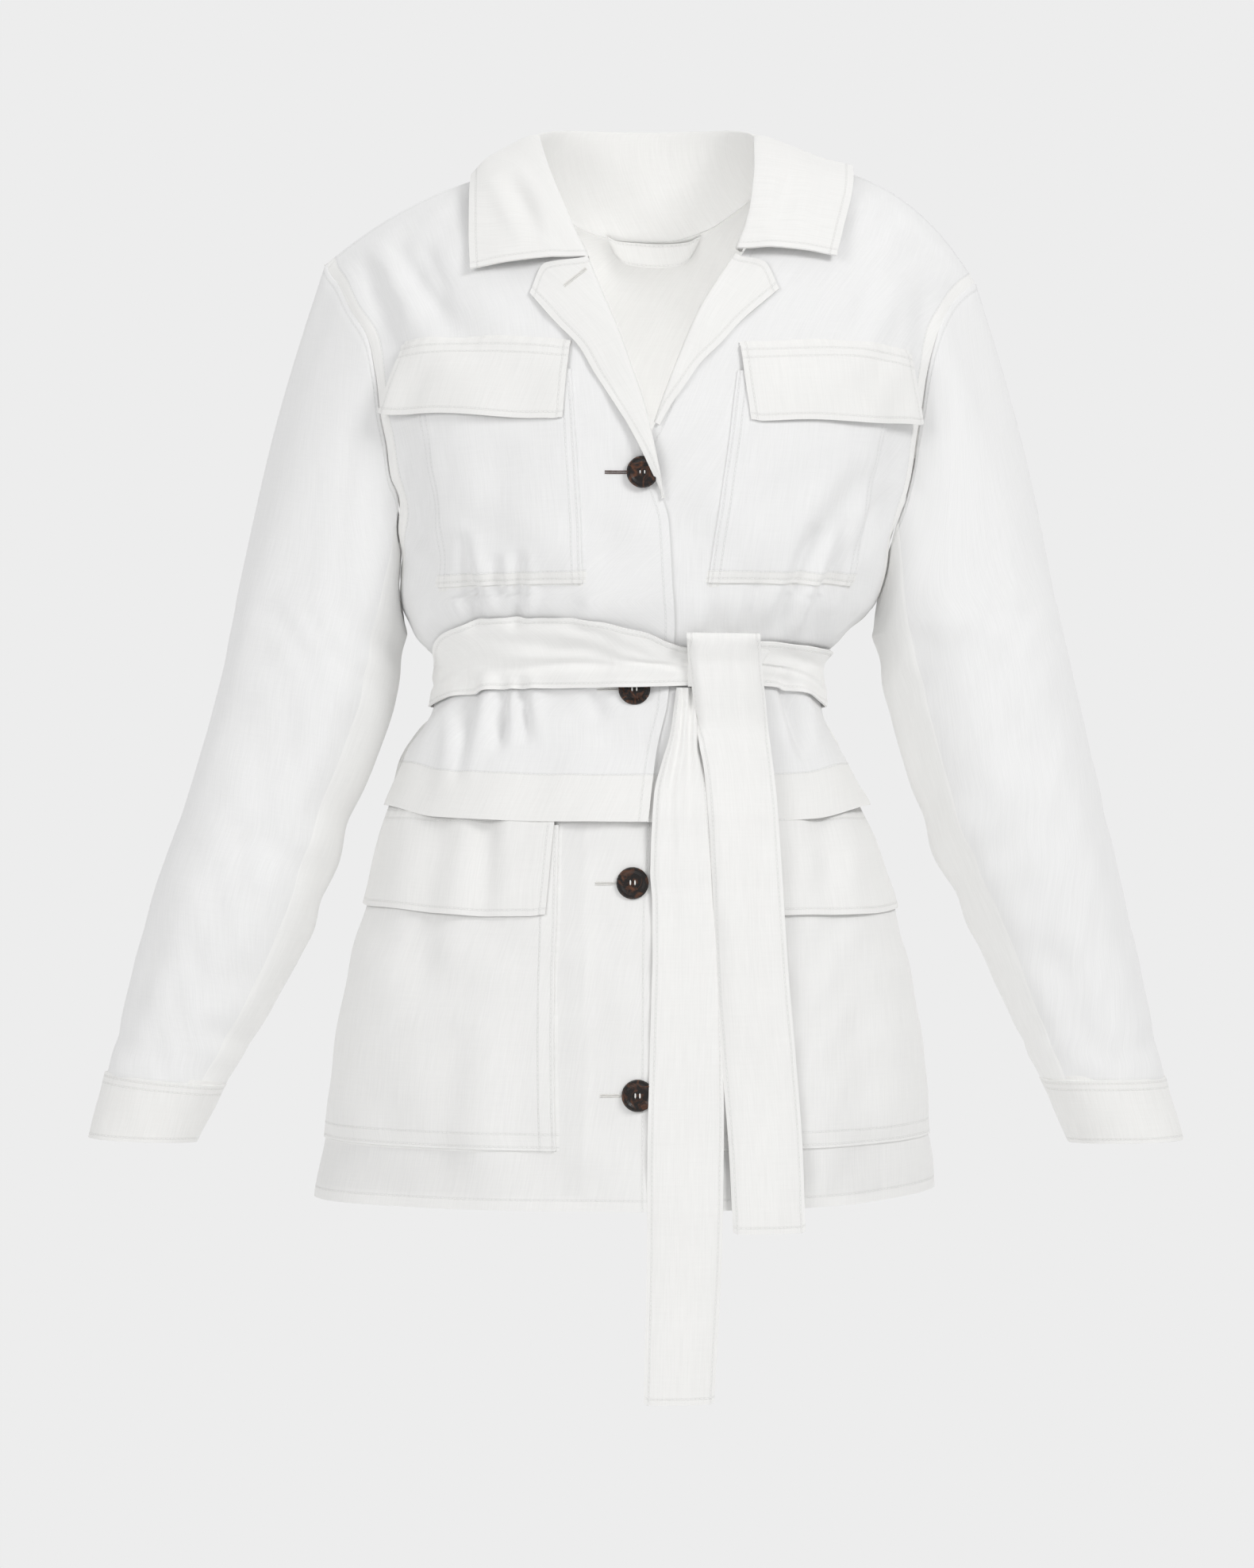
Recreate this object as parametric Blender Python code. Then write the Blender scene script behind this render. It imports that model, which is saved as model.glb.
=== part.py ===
"""White linen safari jacket with a tie belt, filled out as if it were worn.

Left and right are the viewer's. X runs to the right, the front faces -Y and +Z is up.
The origin is in the middle of the neck opening, level with the shoulders at the neck.
Sizes and tables are in millimetres, and the meshes are in metres.
"""

import bpy
import bmesh
import numpy as np
from mathutils import Vector

MM = 0.001

# Cloth
WALL = 1.2
DOUBLE = 1.6
SEAM = 0.3
LIE = 0.9
CAUGHT = 0.6
OVERLAP = 1.9

# Form of the body's rings
FLAT = 0.85
SHOULDER_LEFT = 2.6
SHOULDER_RIGHT = 4.5
SHOULDER_ROW = 3.0
UNDERARM_ROW = -300.0
BODICE_HEM = -443.0
CAUGHT_ROW = -358.0
SKIRT_HEM = -700.0

# Neck opening, where the shoulder seams end and where the back is cut down
NECK_BACK = -45.0
NECK_ROUND = 2.5
NECK_TURN = 23.7

# Fineness of the panels
FRONT_COLUMNS = 14
BACK_COLUMNS = 10
NECK_COLUMNS = 6

# Small pieces
BUTTON_RADIUS = 10.5
BUTTON_STEPS = 26
ROLL = 3.0
COLLAR_BULGE = 3.0


def smooth_read(keys, values, key):
    """Read values at key from a monotone cubic through the rows, held level past the ends."""
    gaps = np.diff(keys)
    rates = np.diff(values) / gaps
    slopes = np.concatenate([rates[:1], np.zeros(len(keys) - 2), rates[-1:]])
    before, after = rates[:-1], rates[1:]
    same_way = before * after > 0
    total = np.where(same_way, before + after, 1.0)
    slopes[1:-1] = np.where(same_way, 2 * before * after / total, 0.0)
    key = np.clip(np.asarray(key, float), keys[0], keys[-1])
    low = np.clip(np.searchsorted(keys, key, side="right") - 1, 0, len(keys) - 2)
    gap = gaps[low]
    t = (key - keys[low]) / gap
    near = values[low] * (1 + 2 * t) + slopes[low] * gap * t
    far = values[low + 1] * (3 - 2 * t) - slopes[low + 1] * gap * (1 - t)
    return near * (1 - t) ** 2 + far * t ** 2


class Table:
    """Rows of sizes under named columns, sorted by the first one."""

    def __init__(self, columns, *rows):
        numbers = np.array(sorted(rows), float)
        self.keys = numbers[:, 0]
        self.columns = dict(zip(columns.split(), numbers.T))

    def at(self, name, key):
        if name not in self.columns:
            return np.zeros(np.shape(key))
        return smooth_read(self.keys, self.columns[name], key)


# Rings of the upper layer, from its free hem to the shoulder seam. A drop tilts a ring
# down towards the shoulder point, and front and back are depths from the origin's plane.
BODICE = Table(
    "z centre left right front back middle drop_left drop_right",
    (3, 0, -219, 224, 6, 6, 6, 72, 85),
    (-10, 0, -219, 224, -28, 38, 5, 69, 80),
    (-30, 0, -217, 221, -52, 62, 4, 62, 70),
    (-60, 0, -212, 215, -78, 82, 2, 50, 52),
    (-100, -1, -206, 208, -100, 96, 0, 35, 34),
    (-150, -2, -196, 199, -116, 104, 0, 19, 17),
    (-200, -3, -184, 188, -123, 108, 0, 9, 7),
    (-250, -4, -173, 172, -124, 107, 0, 3, 2),
    (-300, -5, -166, 155, -120, 102, 0, 0, 0),
    (-322, -8, -156, 133, -112, 97, 0, 0, 0),
    (-345, -12, -140, 114.5, -104, 92, 0, 0, 0),
    (-372, -13, -144, 118, -106, 93, 0, 0, 0),
    (-400, -13, -163, 131, -113, 100, 0, -2, -2),
    (-443, -14, -176, 148, -122, 110, 0, -6, -6),
)

# Rings of the thinner under layer, from the jacket's hem up under the belt
SKIRT = Table(
    "z centre left right front back drop_left drop_right",
    (-335, -12, -134, 109, -97, 85, 0, 0),
    (-372, -13, -137, 112, -99, 86, 0, 0),
    (-400, -13, -155, 124, -106, 93, 0, 0),
    (-443, -14, -173, 145, -118, 106, 0, 0),
    (-470, -14, -181, 156, -122, 111, 0, 0),
    (-502, -14, -189, 167, -127, 116, 0, 0),
    (-553, -15, -202, 178, -131, 121, 0, 0),
    (-640, -16, -216, 188, -136, 127, 0, -2),
    (-700, -16, -225, 193, -139, 131, 0, -6),
)

# Armhole seam on the fronts, as the ring's row and how far out it lies
ARMHOLE = Table(
    "z left right",
    (3, -219, 224),
    (-10, -215.5, 220.5),
    (-30, -209, 214),
    (-60, -200, 205),
    (-100, -187, 193),
    (-150, -179, 186),
    (-200, -170, 179),
    (-250, -164, 165),
    (-280, -166, 159.5),
    (-300, -166, 155),
)

# Free front edges below, then the line under each lapel's roll, then the neck seam
BODICE_EDGE = Table(
    "z left right",
    (3, -88, 88),
    (-20, -78.5, 85.5),
    (-36, -69, 80),
    (-50, -59, 75),
    (-74, -43, 61),
    (-102, -31.6, 42),
    (-127.5, -21.3, 29),
    (-151.6, -13, 18.5),
    (-169.5, -6.8, 12),
    (-191.5, -1, 3),
    (-214, 3.7, -11),
    (-232, 8, -24),
    (-250, 13.5, -31),
    (-292, 16, -32),
    (-315, 17.5, -32),
    (-372, 12, -32),
    (-400, 6, -32),
    (-443, 0, -32),
)
SKIRT_EDGE = Table(
    "z left right",
    (-340, -40, 14),
    (-358, -40, 14),
    (-385, 7, 12),
    (-412, 7, -32),
    (-443, 7, -32),
    (-512, 3, -32),
    (-700, 2, -32),
)

# Gathers where the belt draws the cloth in: soft ridges that run up and down from it
GATHERS = (
    {"turn": -66, "height": 3.5, "width": 8, "up": 60, "down": 50},
    {"turn": -48, "height": 4.5, "width": 7, "up": 55, "down": 60},
    {"turn": -31, "height": 3.5, "width": 7, "up": 40, "down": 60},
    {"turn": 16, "height": 2.2, "width": 6, "up": 30, "down": 55},
    {"turn": 46, "height": 4.0, "width": 7, "up": 60, "down": 50},
    {"turn": 66, "height": 5.0, "width": 8, "up": 80, "down": 45},
    {"turn": 108, "height": 4.0, "width": 9, "up": 60, "down": 55},
    {"turn": 134, "height": 4.5, "width": 8, "up": 70, "down": 60},
    {"turn": 158, "height": 3.5, "width": 8, "up": 55, "down": 65},
    {"turn": 184, "height": 4.5, "width": 8, "up": 75, "down": 55},
    {"turn": 208, "height": 3.5, "width": 8, "up": 50, "down": 60},
    {"turn": 232, "height": 5.0, "width": 9, "up": 70, "down": 60},
    {"turn": 256, "height": 4.0, "width": 8, "up": 60, "down": 45},
)

# Drape creases on the fronts: soft troughs from one place to another
CREASES = (
    {"start": (-180, -84), "end": (-168, -128), "depth": 2.4, "width": 13},
    {"start": (-156, -62), "end": (-120, -124), "depth": 2.4, "width": 13},
    {"start": (178, -92), "end": (178, -130), "depth": 2.0, "width": 13},
    {"start": (132, -70), "end": (126, -122), "depth": 1.6, "width": 13},
    {"start": (118, -285), "end": (84, -322), "depth": 2.5, "width": 12},
    {"start": (-128, -270), "end": (-110, -318), "depth": 2.2, "width": 12},
)

# Belt's edges round the waist, by turn from the centre front
BELT = Table(
    "turn top low",
    (-180, -322, -370),
    (-135, -330, -371),
    (-90, -341, -371),
    (-54, -319, -363),
    (-37, -312.5, -360),
    (-16, -312.5, -360),
    (0, -319, -360),
    (16.4, -331, -358.5),
    (40, -327.4, -358),
    (56, -328, -360.5),
    (90, -331, -371),
    (135, -326, -371),
    (180, -322, -370),
)
BELT_OUT = 3.4
BELT_BUTTON_OUT = 4.0
BELT_BUTTON_TURN = 2.0
BELT_BUTTON_SPREAD = 8.0
BELT_COLUMNS = 50

# Knot on the belt, by turn and height
KNOT_TURNS = (17.0, 41.0)
KNOT_LOW = -359.5
KNOT_TOP = -331.0
KNOT_EDGE = 3.0
KNOT_RISE = 10.0

# Belt's ends. Each row has a middle, a half width and the room under it.
TAIL_RIGHT = (
    {"x": 79.4, "z": -715, "half": 23.4, "room": 11.4},
    {"x": 77.0, "z": -660, "half": 24.0, "room": 11.4},
    {"x": 72.3, "z": -602, "half": 24.4, "room": 11.4},
    {"x": 67.8, "z": -545, "half": 24.0, "room": 12},
    {"x": 66.0, "z": -514, "half": 23.8, "room": 12.6},
    {"x": 64.2, "z": -482, "half": 23.7, "room": 12.2},
    {"x": 60.8, "z": -429, "half": 23.7, "room": 10.4},
    {"x": 56.0, "z": -388, "half": 23.8, "room": 14},
    {"x": 54.0, "z": -368, "half": 24.0, "room": 19},
    {"x": 52.0, "z": -352, "half": 24.0, "room": 21.5},
    {"x": 50.5, "z": -338, "half": 24.3, "room": 21.1},
    {"x": 49.8, "z": -327, "half": 24.3, "room": 17.5},
    {"x": 49.6, "z": -323.5, "half": 24.0, "room": 12},
    {"x": 49.6, "z": -326, "half": 22.0, "room": 7},
)
TAIL_LEFT = (
    {"x": 19.4, "z": -825, "half": 22.1, "room": 8},
    {"x": 23.1, "z": -717, "half": 23.7, "room": 8},
    {"x": 23.7, "z": -660, "half": 24.0, "room": 8},
    {"x": 24.2, "z": -602, "half": 23.0, "room": 8},
    {"x": 24.3, "z": -545, "half": 21.5, "room": 7.2},
    {"x": 22.5, "z": -487, "half": 19.5, "room": 6},
    {"x": 21.2, "z": -429, "half": 15.5, "room": 6.2},
    {"x": 23.5, "z": -405, "half": 12.0, "room": 8.4},
    {"x": 25.0, "z": -385, "half": 9.5, "room": 9.4},
    {"x": 27.0, "z": -359.4, "half": 8.0, "room": 7.6},
)

# Sleeves, from the armhole's foot to the cuff: the outer and inner sides seen from the
# front, how far forward the middle lies, and half the thickness from front to back
SLEEVE_LEFT = Table(
    "step x_out z_out x_in z_in y depth",
    (1, -277, -290, -162.5, -321, 0, 58),
    (2, -286.2, -337.5, -171.7, -370, -2, 58),
    (3, -309.4, -424, -202.9, -453.5, -8, 54),
    (4, -333, -493.7, -226.7, -523.2, -14, 50),
    (5, -348.5, -555.2, -257.9, -582, -19, 43),
    (6, -363.7, -616.1, -283.9, -624.7, -24, 37),
    (7, -376, -660, -304.3, -662.7, -27, 33),
)
SLEEVE_RIGHT = Table(
    "step x_out z_out x_in z_in y depth",
    (1, 276.5, -291.6, 152.8, -322.9, 0, 60),
    (2, 288.4, -344.5, 166.9, -378, -2, 60),
    (3, 306.6, -424, 187.7, -451.9, -8, 56),
    (4, 320.5, -488.3, 218.5, -517.9, -14, 50),
    (5, 334.9, -555.2, 244.9, -577.7, -19, 43),
    (6, 348.5, -619.3, 265, -620, -24, 38),
    (7, 360.8, -661.6, 284.8, -662.7, -27, 34),
)
SLEEVE_HEAD = 4.0
SLEEVE_SET = 1.2
SLEEVE_SEAM_FRONT = 130.0
SLEEVE_SEAM_BACK = 225.0
SLEEVE_GAP = 0.15
SLEEVE_TOP_COLUMNS = 15
SLEEVE_UNDER_COLUMNS = 5
CUFF_OUT = 0.8
CUFF_COLUMNS = 20

# Collar, from the front end (0) to the centre back (1): the fold and the outer edge
COLLAR_LEFT = Table(
    "step fold_x fold_y fold_z edge_x edge_y edge_z",
    (0.0, -39, -89, -74, -117.5, -79.5, -81),
    (0.2, -54, -70, -38, -119, -62, -55),
    (0.4, -66, -41, -6, -119.5, -32, -20),
    (0.6, -72, 3, 19, -119.5, 8, -7),
    (0.8, -55, 45, 29, -100, 66, -34),
    (1.0, 0, 66, 31, 0, 89, -54),
    (1.2, 55, 45, 29, 100, 66, -34),
)
COLLAR_RIGHT = Table(
    "step fold_x fold_y fold_z edge_x edge_y edge_z",
    (0.0, 59, -87, -68, 125.5, -76.5, -72),
    (0.2, 68, -67, -36, 131, -62, -51),
    (0.4, 71.5, -41, -5, 137, -34, -27),
    (0.6, 72, 2, 18, 139, 10, -10),
    (0.8, 55, 45, 29, 110, 66, -36),
    (1.0, 0, 66, 31, 0, 89, -54),
    (1.2, -55, 45, 29, -110, 66, -36),
)
COLLAR_HALVES = 2
COLLAR_ROOM = 2.6
COLLAR_RIDGE = 2.0
COLLAR_WALL = 1.4
COLLAR_APART = 2.0

# Lapels from the gorge down: the roll, the outer edge and the room over the front
LAPEL_LEFT = (
    {"roll": (-39, -75.5), "edge": (-77.2, -99.7), "room": 2.3, "leg": 5.0},
    {"roll": (-28.6, -102), "edge": (-60, -120.4), "room": 2.3, "leg": 5.0},
    {"roll": (-18.2, -127.5), "edge": (-44.7, -137), "room": 2.3, "leg": 5.0},
    {"roll": (-9.9, -151.6), "edge": (-34.3, -154.8), "room": 2.4, "leg": 5.0},
    {"roll": (-3.6, -169.5), "edge": (-24.9, -169.7), "room": 2.8, "leg": 5.0},
    {"roll": (2.1, -191.5), "edge": (-12, -190.3), "room": 4.2, "leg": 4.0},
    {"roll": (5.6, -208), "edge": (-3.4, -207), "room": 6.2, "leg": 2.2},
    {"roll": (9.3, -226), "edge": (3.0, -225), "room": 6.2, "leg": 2.2},
)
LAPEL_RIGHT = (
    {"roll": (57.8, -71.5), "edge": (86.6, -96), "room": 2.3, "leg": 5.0},
    {"roll": (45, -91.5), "edge": (62.1, -117.7), "room": 2.3, "leg": 5.0},
    {"roll": (33, -112.2), "edge": (47.4, -134.4), "room": 2.3, "leg": 5.0},
    {"roll": (22.4, -136.7), "edge": (34.3, -147.7), "room": 2.3, "leg": 4.0},
    {"roll": (15.0, -156), "edge": (24.5, -162), "room": 2.3, "leg": 3.4},
    {"roll": (8.6, -173), "edge": (14.5, -176.5), "room": 2.3, "leg": 2.0},
    {"roll": (4.0, -186.5), "edge": (7.6, -189), "room": 2.3, "leg": 2.0},
)
LAPEL_WALL = 1.3
LAPEL_TURN = 3.0
NOTCH_LEFT = (-67.3, -80)
NOTCH_RIGHT = (76.6, -78)

# Pockets and flaps: corners as x and z, top left, top right, low right, low left
CHEST_POCKETS = {
    "left": ((-154, -152), (-50, -152), (-42, -291), (-137, -292)),
    "right": ((59, -152), (166, -152), (133, -290), (39.8, -291)),
}
CHEST_FLAPS = {
    "left": ((-163, -131), (-50.5, -135), (-55, -185), (-171.5, -176)),
    "right": ((60.5, -135.5), (175, -137), (178, -183), (67, -186)),
}
CHEST_BULGE = 4.0
CHEST_FLAP_ROOM = 0.4
SKIRT_POCKETS = {
    "left": ((-174, -450), (-57.5, -450), (-60, -661), (-217, -660)),
    "right": ((38, -450), (147, -450), (188, -658), (42, -661)),
}
SKIRT_FLAPS = {
    "left": ((-173, -446), (-59, -447), (-66, -509.5), (-188.5, -503)),
    "right": ((42, -447), (146.5, -446), (167, -507), (48, -509.5)),
}
SKIRT_BULGE = 5.0
SKIRT_FLAP_ROOM = 0.7

# Buttons: the middle of each on the left front
BUTTONS = (
    {"x": -3.5, "z": -219.4, "layer": "bodice", "room": 0.5},
    {"x": -8.8, "z": -360.6, "layer": "bodice", "room": 1.1},
    {"x": -9.9, "z": -487.6, "layer": "skirt", "room": 0.5},
    {"x": -6.8, "z": -625.0, "layer": "skirt", "room": 0.5},
)

# Hanger loop on the inside of the back, from end to end
LOOP = Table(
    "step x z",
    (0.0, -31, -46),
    (0.25, -20, -50),
    (0.5, 5, -51.5),
    (0.75, 30, -50),
    (1.0, 41, -46),
)
LOOP_HALF = 5.5
LOOP_BOW = 10.0
LOOP_COLUMNS = 10


def unit(vectors):
    """Scale vectors to a length of 1."""
    length = np.linalg.norm(vectors, axis=-1, keepdims=True)
    return vectors / np.maximum(length, 1e-9)


def mix(first, last, share):
    """Go from first to last by share."""
    return first + (last - first) * share


def smooth_step(start, end, value):
    """Rise softly from 0 at start to 1 at end."""
    t = np.clip((value - start) / (end - start), 0.0, 1.0)
    return t * t * (3 - 2 * t)


def ring(layer, z, turn):
    """Points on a layer's plain rings, turn degrees round from the centre front."""
    side = np.sin(np.radians(turn))
    ahead = np.cos(np.radians(turn))
    centre = layer.at("centre", z)
    half = np.where(side < 0, centre - layer.at("left", z), layer.at("right", z) - centre)
    middle = layer.at("middle", z)
    reach = np.where(ahead > 0, layer.at("front", z), layer.at("back", z))
    drop = np.where(side < 0, layer.at("drop_left", z), layer.at("drop_right", z))
    power = np.where(side < 0, SHOULDER_LEFT, SHOULDER_RIGHT)
    x = centre + half * side
    y = middle + (reach - middle) * np.abs(ahead) ** FLAT
    return np.stack([x, y, z - drop * np.abs(side) ** power], axis=-1)


def ring_normal(layer, z, turn):
    """Outward directions, which front and back share along the shoulder seam."""
    low = np.minimum(z, -8.0)
    across = ring(layer, low, turn + 0.5) - ring(layer, low, turn - 0.5)
    up = ring(layer, low + 0.5, turn) - ring(layer, low - 0.5, turn)
    normal = unit(np.cross(across, up))
    seam_part = smooth_step(-30.0, SHOULDER_ROW, z)[..., None]
    upward = unit(normal * (0.6, 0.0, 0.0) + (0.0, 0.0, 1.0))
    return unit(mix(normal, upward, seam_part))


def gather_relief(z, turn):
    """Height of the ridges above and below the belt."""
    wrapped = (turn + 180.0) % 360.0 - 180.0
    above = z - BELT.at("top", wrapped)
    below = BELT.at("low", wrapped) - z
    height = np.zeros(np.shape(z))
    for fold in GATHERS:
        aside = (turn - fold["turn"] + 180.0) % 360.0 - 180.0
        ridge = np.exp(-(aside / fold["width"]) ** 2) * fold["height"]
        fade = np.where(above > 0, above / fold["up"], np.maximum(below, 0) / fold["down"])
        free = smooth_step(-4.0, 14.0, np.maximum(above, below))
        height += ridge * np.exp(-fade ** 2) * mix(0.15, 1.0, free)
    return height


def crease_relief(points):
    """Depth of the drape creases on the fronts, as a negative height."""
    place = points[..., [0, 2]]
    height = np.zeros(place.shape[:-1])
    for crease in CREASES:
        start, end = np.array(crease["start"], float), np.array(crease["end"], float)
        run = end - start
        share = np.clip(((place - start) @ run) / (run @ run), 0.0, 1.0)
        away = np.linalg.norm(place - start - share[..., None] * run, axis=-1)
        height -= crease["depth"] * np.exp(-(away / crease["width"]) ** 2)
    return np.where(points[..., 1] < 0, height, 0.0)


def overlap_relief(points):
    """How far the left front is raised to lie over the right one."""
    return OVERLAP * smooth_step(-88.0, -46.0, points[..., 0])


def face(layer, z, turn, out=0.0, raised=False):
    """Points and outward directions on a layer's outer face, moved out from it."""
    z, turn = np.broadcast_arrays(np.asarray(z, float), np.asarray(turn, float))
    points = ring(layer, z, turn)
    normals = ring_normal(layer, z, turn)
    height = out + np.zeros(np.shape(z))
    if layer is BODICE:
        height = height + gather_relief(z, turn) + crease_relief(points)
    if raised:
        height = height + overlap_relief(points)
    return points + normals * height[..., None], normals


def turn_at(layer, z, x):
    """Turn at which a front ring stands at x."""
    centre = layer.at("centre", z)
    half = np.where(x < centre, centre - layer.at("left", z), layer.at("right", z) - centre)
    return np.degrees(np.arcsin(np.clip((x - centre) / half, -1.0, 1.0)))


def row_at(layer, x, z):
    """Row and turn of the front ring that passes through x and z."""
    row = np.asarray(z, float)
    for _ in range(8):
        turn = turn_at(layer, row, x)
        drop = np.where(turn < 0, layer.at("drop_left", row), layer.at("drop_right", row))
        power = np.where(turn < 0, SHOULDER_LEFT, SHOULDER_RIGHT)
        row = z + drop * np.abs(np.sin(np.radians(turn))) ** power
    return row, turn


def armhole_turn(row, side, back=False):
    """Turn of the armhole seam on a ring, which ends at the side seam below the arm."""
    seam = np.abs(turn_at(BODICE, row, ARMHOLE.at(side, row)))
    reach = np.sin(np.radians(seam))
    if back:
        reach = reach + (1 - reach) * 0.35
    closed = (row <= UNDERARM_ROW) | (row >= SHOULDER_ROW)
    turn = np.where(closed, 90.0, np.degrees(np.arcsin(np.clip(reach, 0.0, 1.0))))
    if back:
        turn = 180.0 - turn
    return turn if side == "right" else -turn


def catch_top(points, row, turn, raised=False):
    """Lay the under layer's top rows against the upper layer's inside."""
    caught = row[:, 0] >= CAUGHT_ROW
    points[caught] = face(BODICE, row[caught], turn[caught], -(WALL + CAUGHT), raised)[0]


class Panel:
    """A grid of cloth on a layer, whose points serve the pieces that lie on it."""

    def __init__(self, layer, rows, first, last, columns, raised=False):
        self.layer = layer
        self.rows = np.array(rows, float)
        self.first = first(self.rows)
        self.last = last(self.rows)
        share = np.linspace(0.0, 1.0, columns + 1)
        turn = mix(self.first[:, None], self.last[:, None], share)
        row = np.repeat(self.rows[:, None], columns + 1, axis=1)
        self.points, self.normals = face(layer, row, turn, raised=raised)
        if layer is SKIRT:
            catch_top(self.points, row, turn, raised)

    def at(self, row, turn, out=0.0):
        """Points on the panel's own facets, moved out, and their outward directions."""
        down = np.interp(row, self.rows, np.arange(len(self.rows)))
        first = np.interp(row, self.rows, self.first)
        last = np.interp(row, self.rows, self.last)
        along = (turn - first) / (last - first) * (self.points.shape[1] - 1)
        along = np.clip(along, 0, self.points.shape[1] - 1)
        i = np.clip(down.astype(int), 0, self.points.shape[0] - 2)
        j = np.clip(along.astype(int), 0, self.points.shape[1] - 2)
        s, t = (down - i)[..., None], (along - j)[..., None]
        found = []
        for grid in (self.points, self.normals):
            low = mix(grid[i, j], grid[i, j + 1], t)
            high = mix(grid[i + 1, j], grid[i + 1, j + 1], t)
            found.append(mix(low, high, s))
        normals = unit(found[1])
        return found[0] + normals * np.asarray(out)[..., None], normals

    def place(self, x, z, out=0.0):
        """The same, for a place given by x and z."""
        row, turn = row_at(self.layer, np.asarray(x, float), np.asarray(z, float))
        return self.at(row, turn, out + np.zeros(np.shape(row)))


def grid_normals(points, closed=False, sign=1.0):
    """Directions across a grid of points, from its neighbours along and up."""
    if closed:
        along = np.roll(points, -1, axis=1) - np.roll(points, 1, axis=1)
    else:
        along = np.gradient(points, axis=1)
    up = np.gradient(points, axis=0)
    return unit(np.cross(along, up)) * sign


def make_material(name, colour, roughness):
    material = bpy.data.materials.new(name)
    material.use_nodes = True
    shader = material.node_tree.nodes["Principled BSDF"]
    shader.inputs["Base Color"].default_value = (*colour, 1.0)
    shader.inputs["Roughness"].default_value = roughness
    shader.inputs["Metallic"].default_value = 0.0
    return material


def add_object(name, bm, material):
    """Turn a finished bmesh into a named object."""
    bmesh.ops.recalc_face_normals(bm, faces=bm.faces[:])
    if bm.calc_volume(signed=True) < 0:
        bmesh.ops.reverse_faces(bm, faces=bm.faces[:])
    mesh = bpy.data.meshes.new(name)
    bm.to_mesh(mesh)
    bm.free()
    mesh.shade_smooth()
    mesh.set_sharp_from_angle(angle=0.7)
    mesh.materials.append(make_material(name, *material))
    obj = bpy.data.objects.new(name, mesh)
    bpy.context.scene.collection.objects.link(obj)
    return obj


def sheet(name, points, normals, thickness, material, closed=False):
    """Make a closed wall of cloth whose outer face is a grid of points."""
    rows, columns = points.shape[:2]
    if closed:
        points = np.concatenate([points, points[:, :1]], axis=1)
        normals = np.concatenate([normals, normals[:, :1]], axis=1)
        columns += 1
    under = points - normals * np.broadcast_to(thickness, (rows, columns))[..., None]
    bm = bmesh.new()
    bmesh.ops.create_grid(bm, x_segments=columns - 1, y_segments=rows - 1, size=0.5)
    grown = bmesh.ops.extrude_face_region(bm, geom=bm.faces[:])
    raised = [part for part in grown["geom"] if isinstance(part, bmesh.types.BMVert)]
    bmesh.ops.translate(bm, verts=raised, vec=(0.0, 0.0, 1.0))
    column_of, row_of = {}, {}
    for vert in bm.verts:
        column_of[vert] = round((vert.co.x + 0.5) * (columns - 1))
        row_of[vert] = round((vert.co.y + 0.5) * (rows - 1))
    for vert in bm.verts:
        grid = points if vert.co.z > 0.5 else under
        vert.co = Vector(grid[row_of[vert], column_of[vert]] * MM)
    if closed:
        ends = [f for f in bm.faces if len({column_of[v] for v in f.verts}) == 1]
        bmesh.ops.delete(bm, geom=ends, context="FACES_ONLY")
        bmesh.ops.remove_doubles(bm, verts=bm.verts[:], dist=1e-6)
    return add_object(name, bm, material)


LINEN = ((0.90, 0.90, 0.89), 0.85)
THIN_LINEN = ((0.86, 0.86, 0.85), 0.85)
DOUBLE_LINEN = ((0.92, 0.91, 0.88), 0.85)
HORN = ((0.035, 0.024, 0.018), 0.3)

BODICE_ROWS = (-443, -420, -402, -388, -374, -358, -340, -322, -306, -284, -256,
               -226, -196, -166, -136, -106, -74, -54, -36, -16, 3)
GORGE_ROW = -74
SKIRT_ROWS = (-700, -660, -610, -560, -510, -470, -443, -412, -385, -358, -340)
SEAM_TURN = 0.04


def edge_turn(layer, edges, side):
    """The turn of a front's inner edge, as a function of the row."""
    return lambda rows: turn_at(layer, rows, edges.at(side, rows))


def outer_turn(side):
    """The turn of a bodice front's outer edge: side seam, then armhole."""
    return lambda rows: armhole_turn(rows, side) * (1 - SEAM_TURN / 90.0)


def side_seam(turn):
    return lambda rows: np.full(len(rows), turn)


def make_fronts():
    """Model both layers' fronts and return them as panels for the pieces on them."""
    bodice_left = Panel(BODICE, BODICE_ROWS, outer_turn("left"),
                        edge_turn(BODICE, BODICE_EDGE, "left"), FRONT_COLUMNS, raised=True)
    bodice_right = Panel(BODICE, BODICE_ROWS, edge_turn(BODICE, BODICE_EDGE, "right"),
                         outer_turn("right"), FRONT_COLUMNS)
    skirt_left = Panel(SKIRT, SKIRT_ROWS, side_seam(-90 + SEAM_TURN),
                       edge_turn(SKIRT, SKIRT_EDGE, "left"), FRONT_COLUMNS, raised=True)
    skirt_right = Panel(SKIRT, SKIRT_ROWS, edge_turn(SKIRT, SKIRT_EDGE, "right"),
                        side_seam(90 - SEAM_TURN), FRONT_COLUMNS)
    for panel in (bodice_left, bodice_right):
        panel.points[-1, :, 1] -= SEAM / 2
    sheet("upper_front_left", bodice_left.points, bodice_left.normals, WALL, LINEN)
    sheet("upper_front_right", bodice_right.points, bodice_right.normals, WALL, LINEN)
    sheet("lower_front_left", skirt_left.points, skirt_left.normals, WALL, THIN_LINEN)
    sheet("lower_front_right", skirt_right.points, skirt_right.normals, WALL, THIN_LINEN)
    return {"bodice_left": bodice_left, "bodice_right": bodice_right,
            "skirt_left": skirt_left, "skirt_right": skirt_right}


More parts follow.
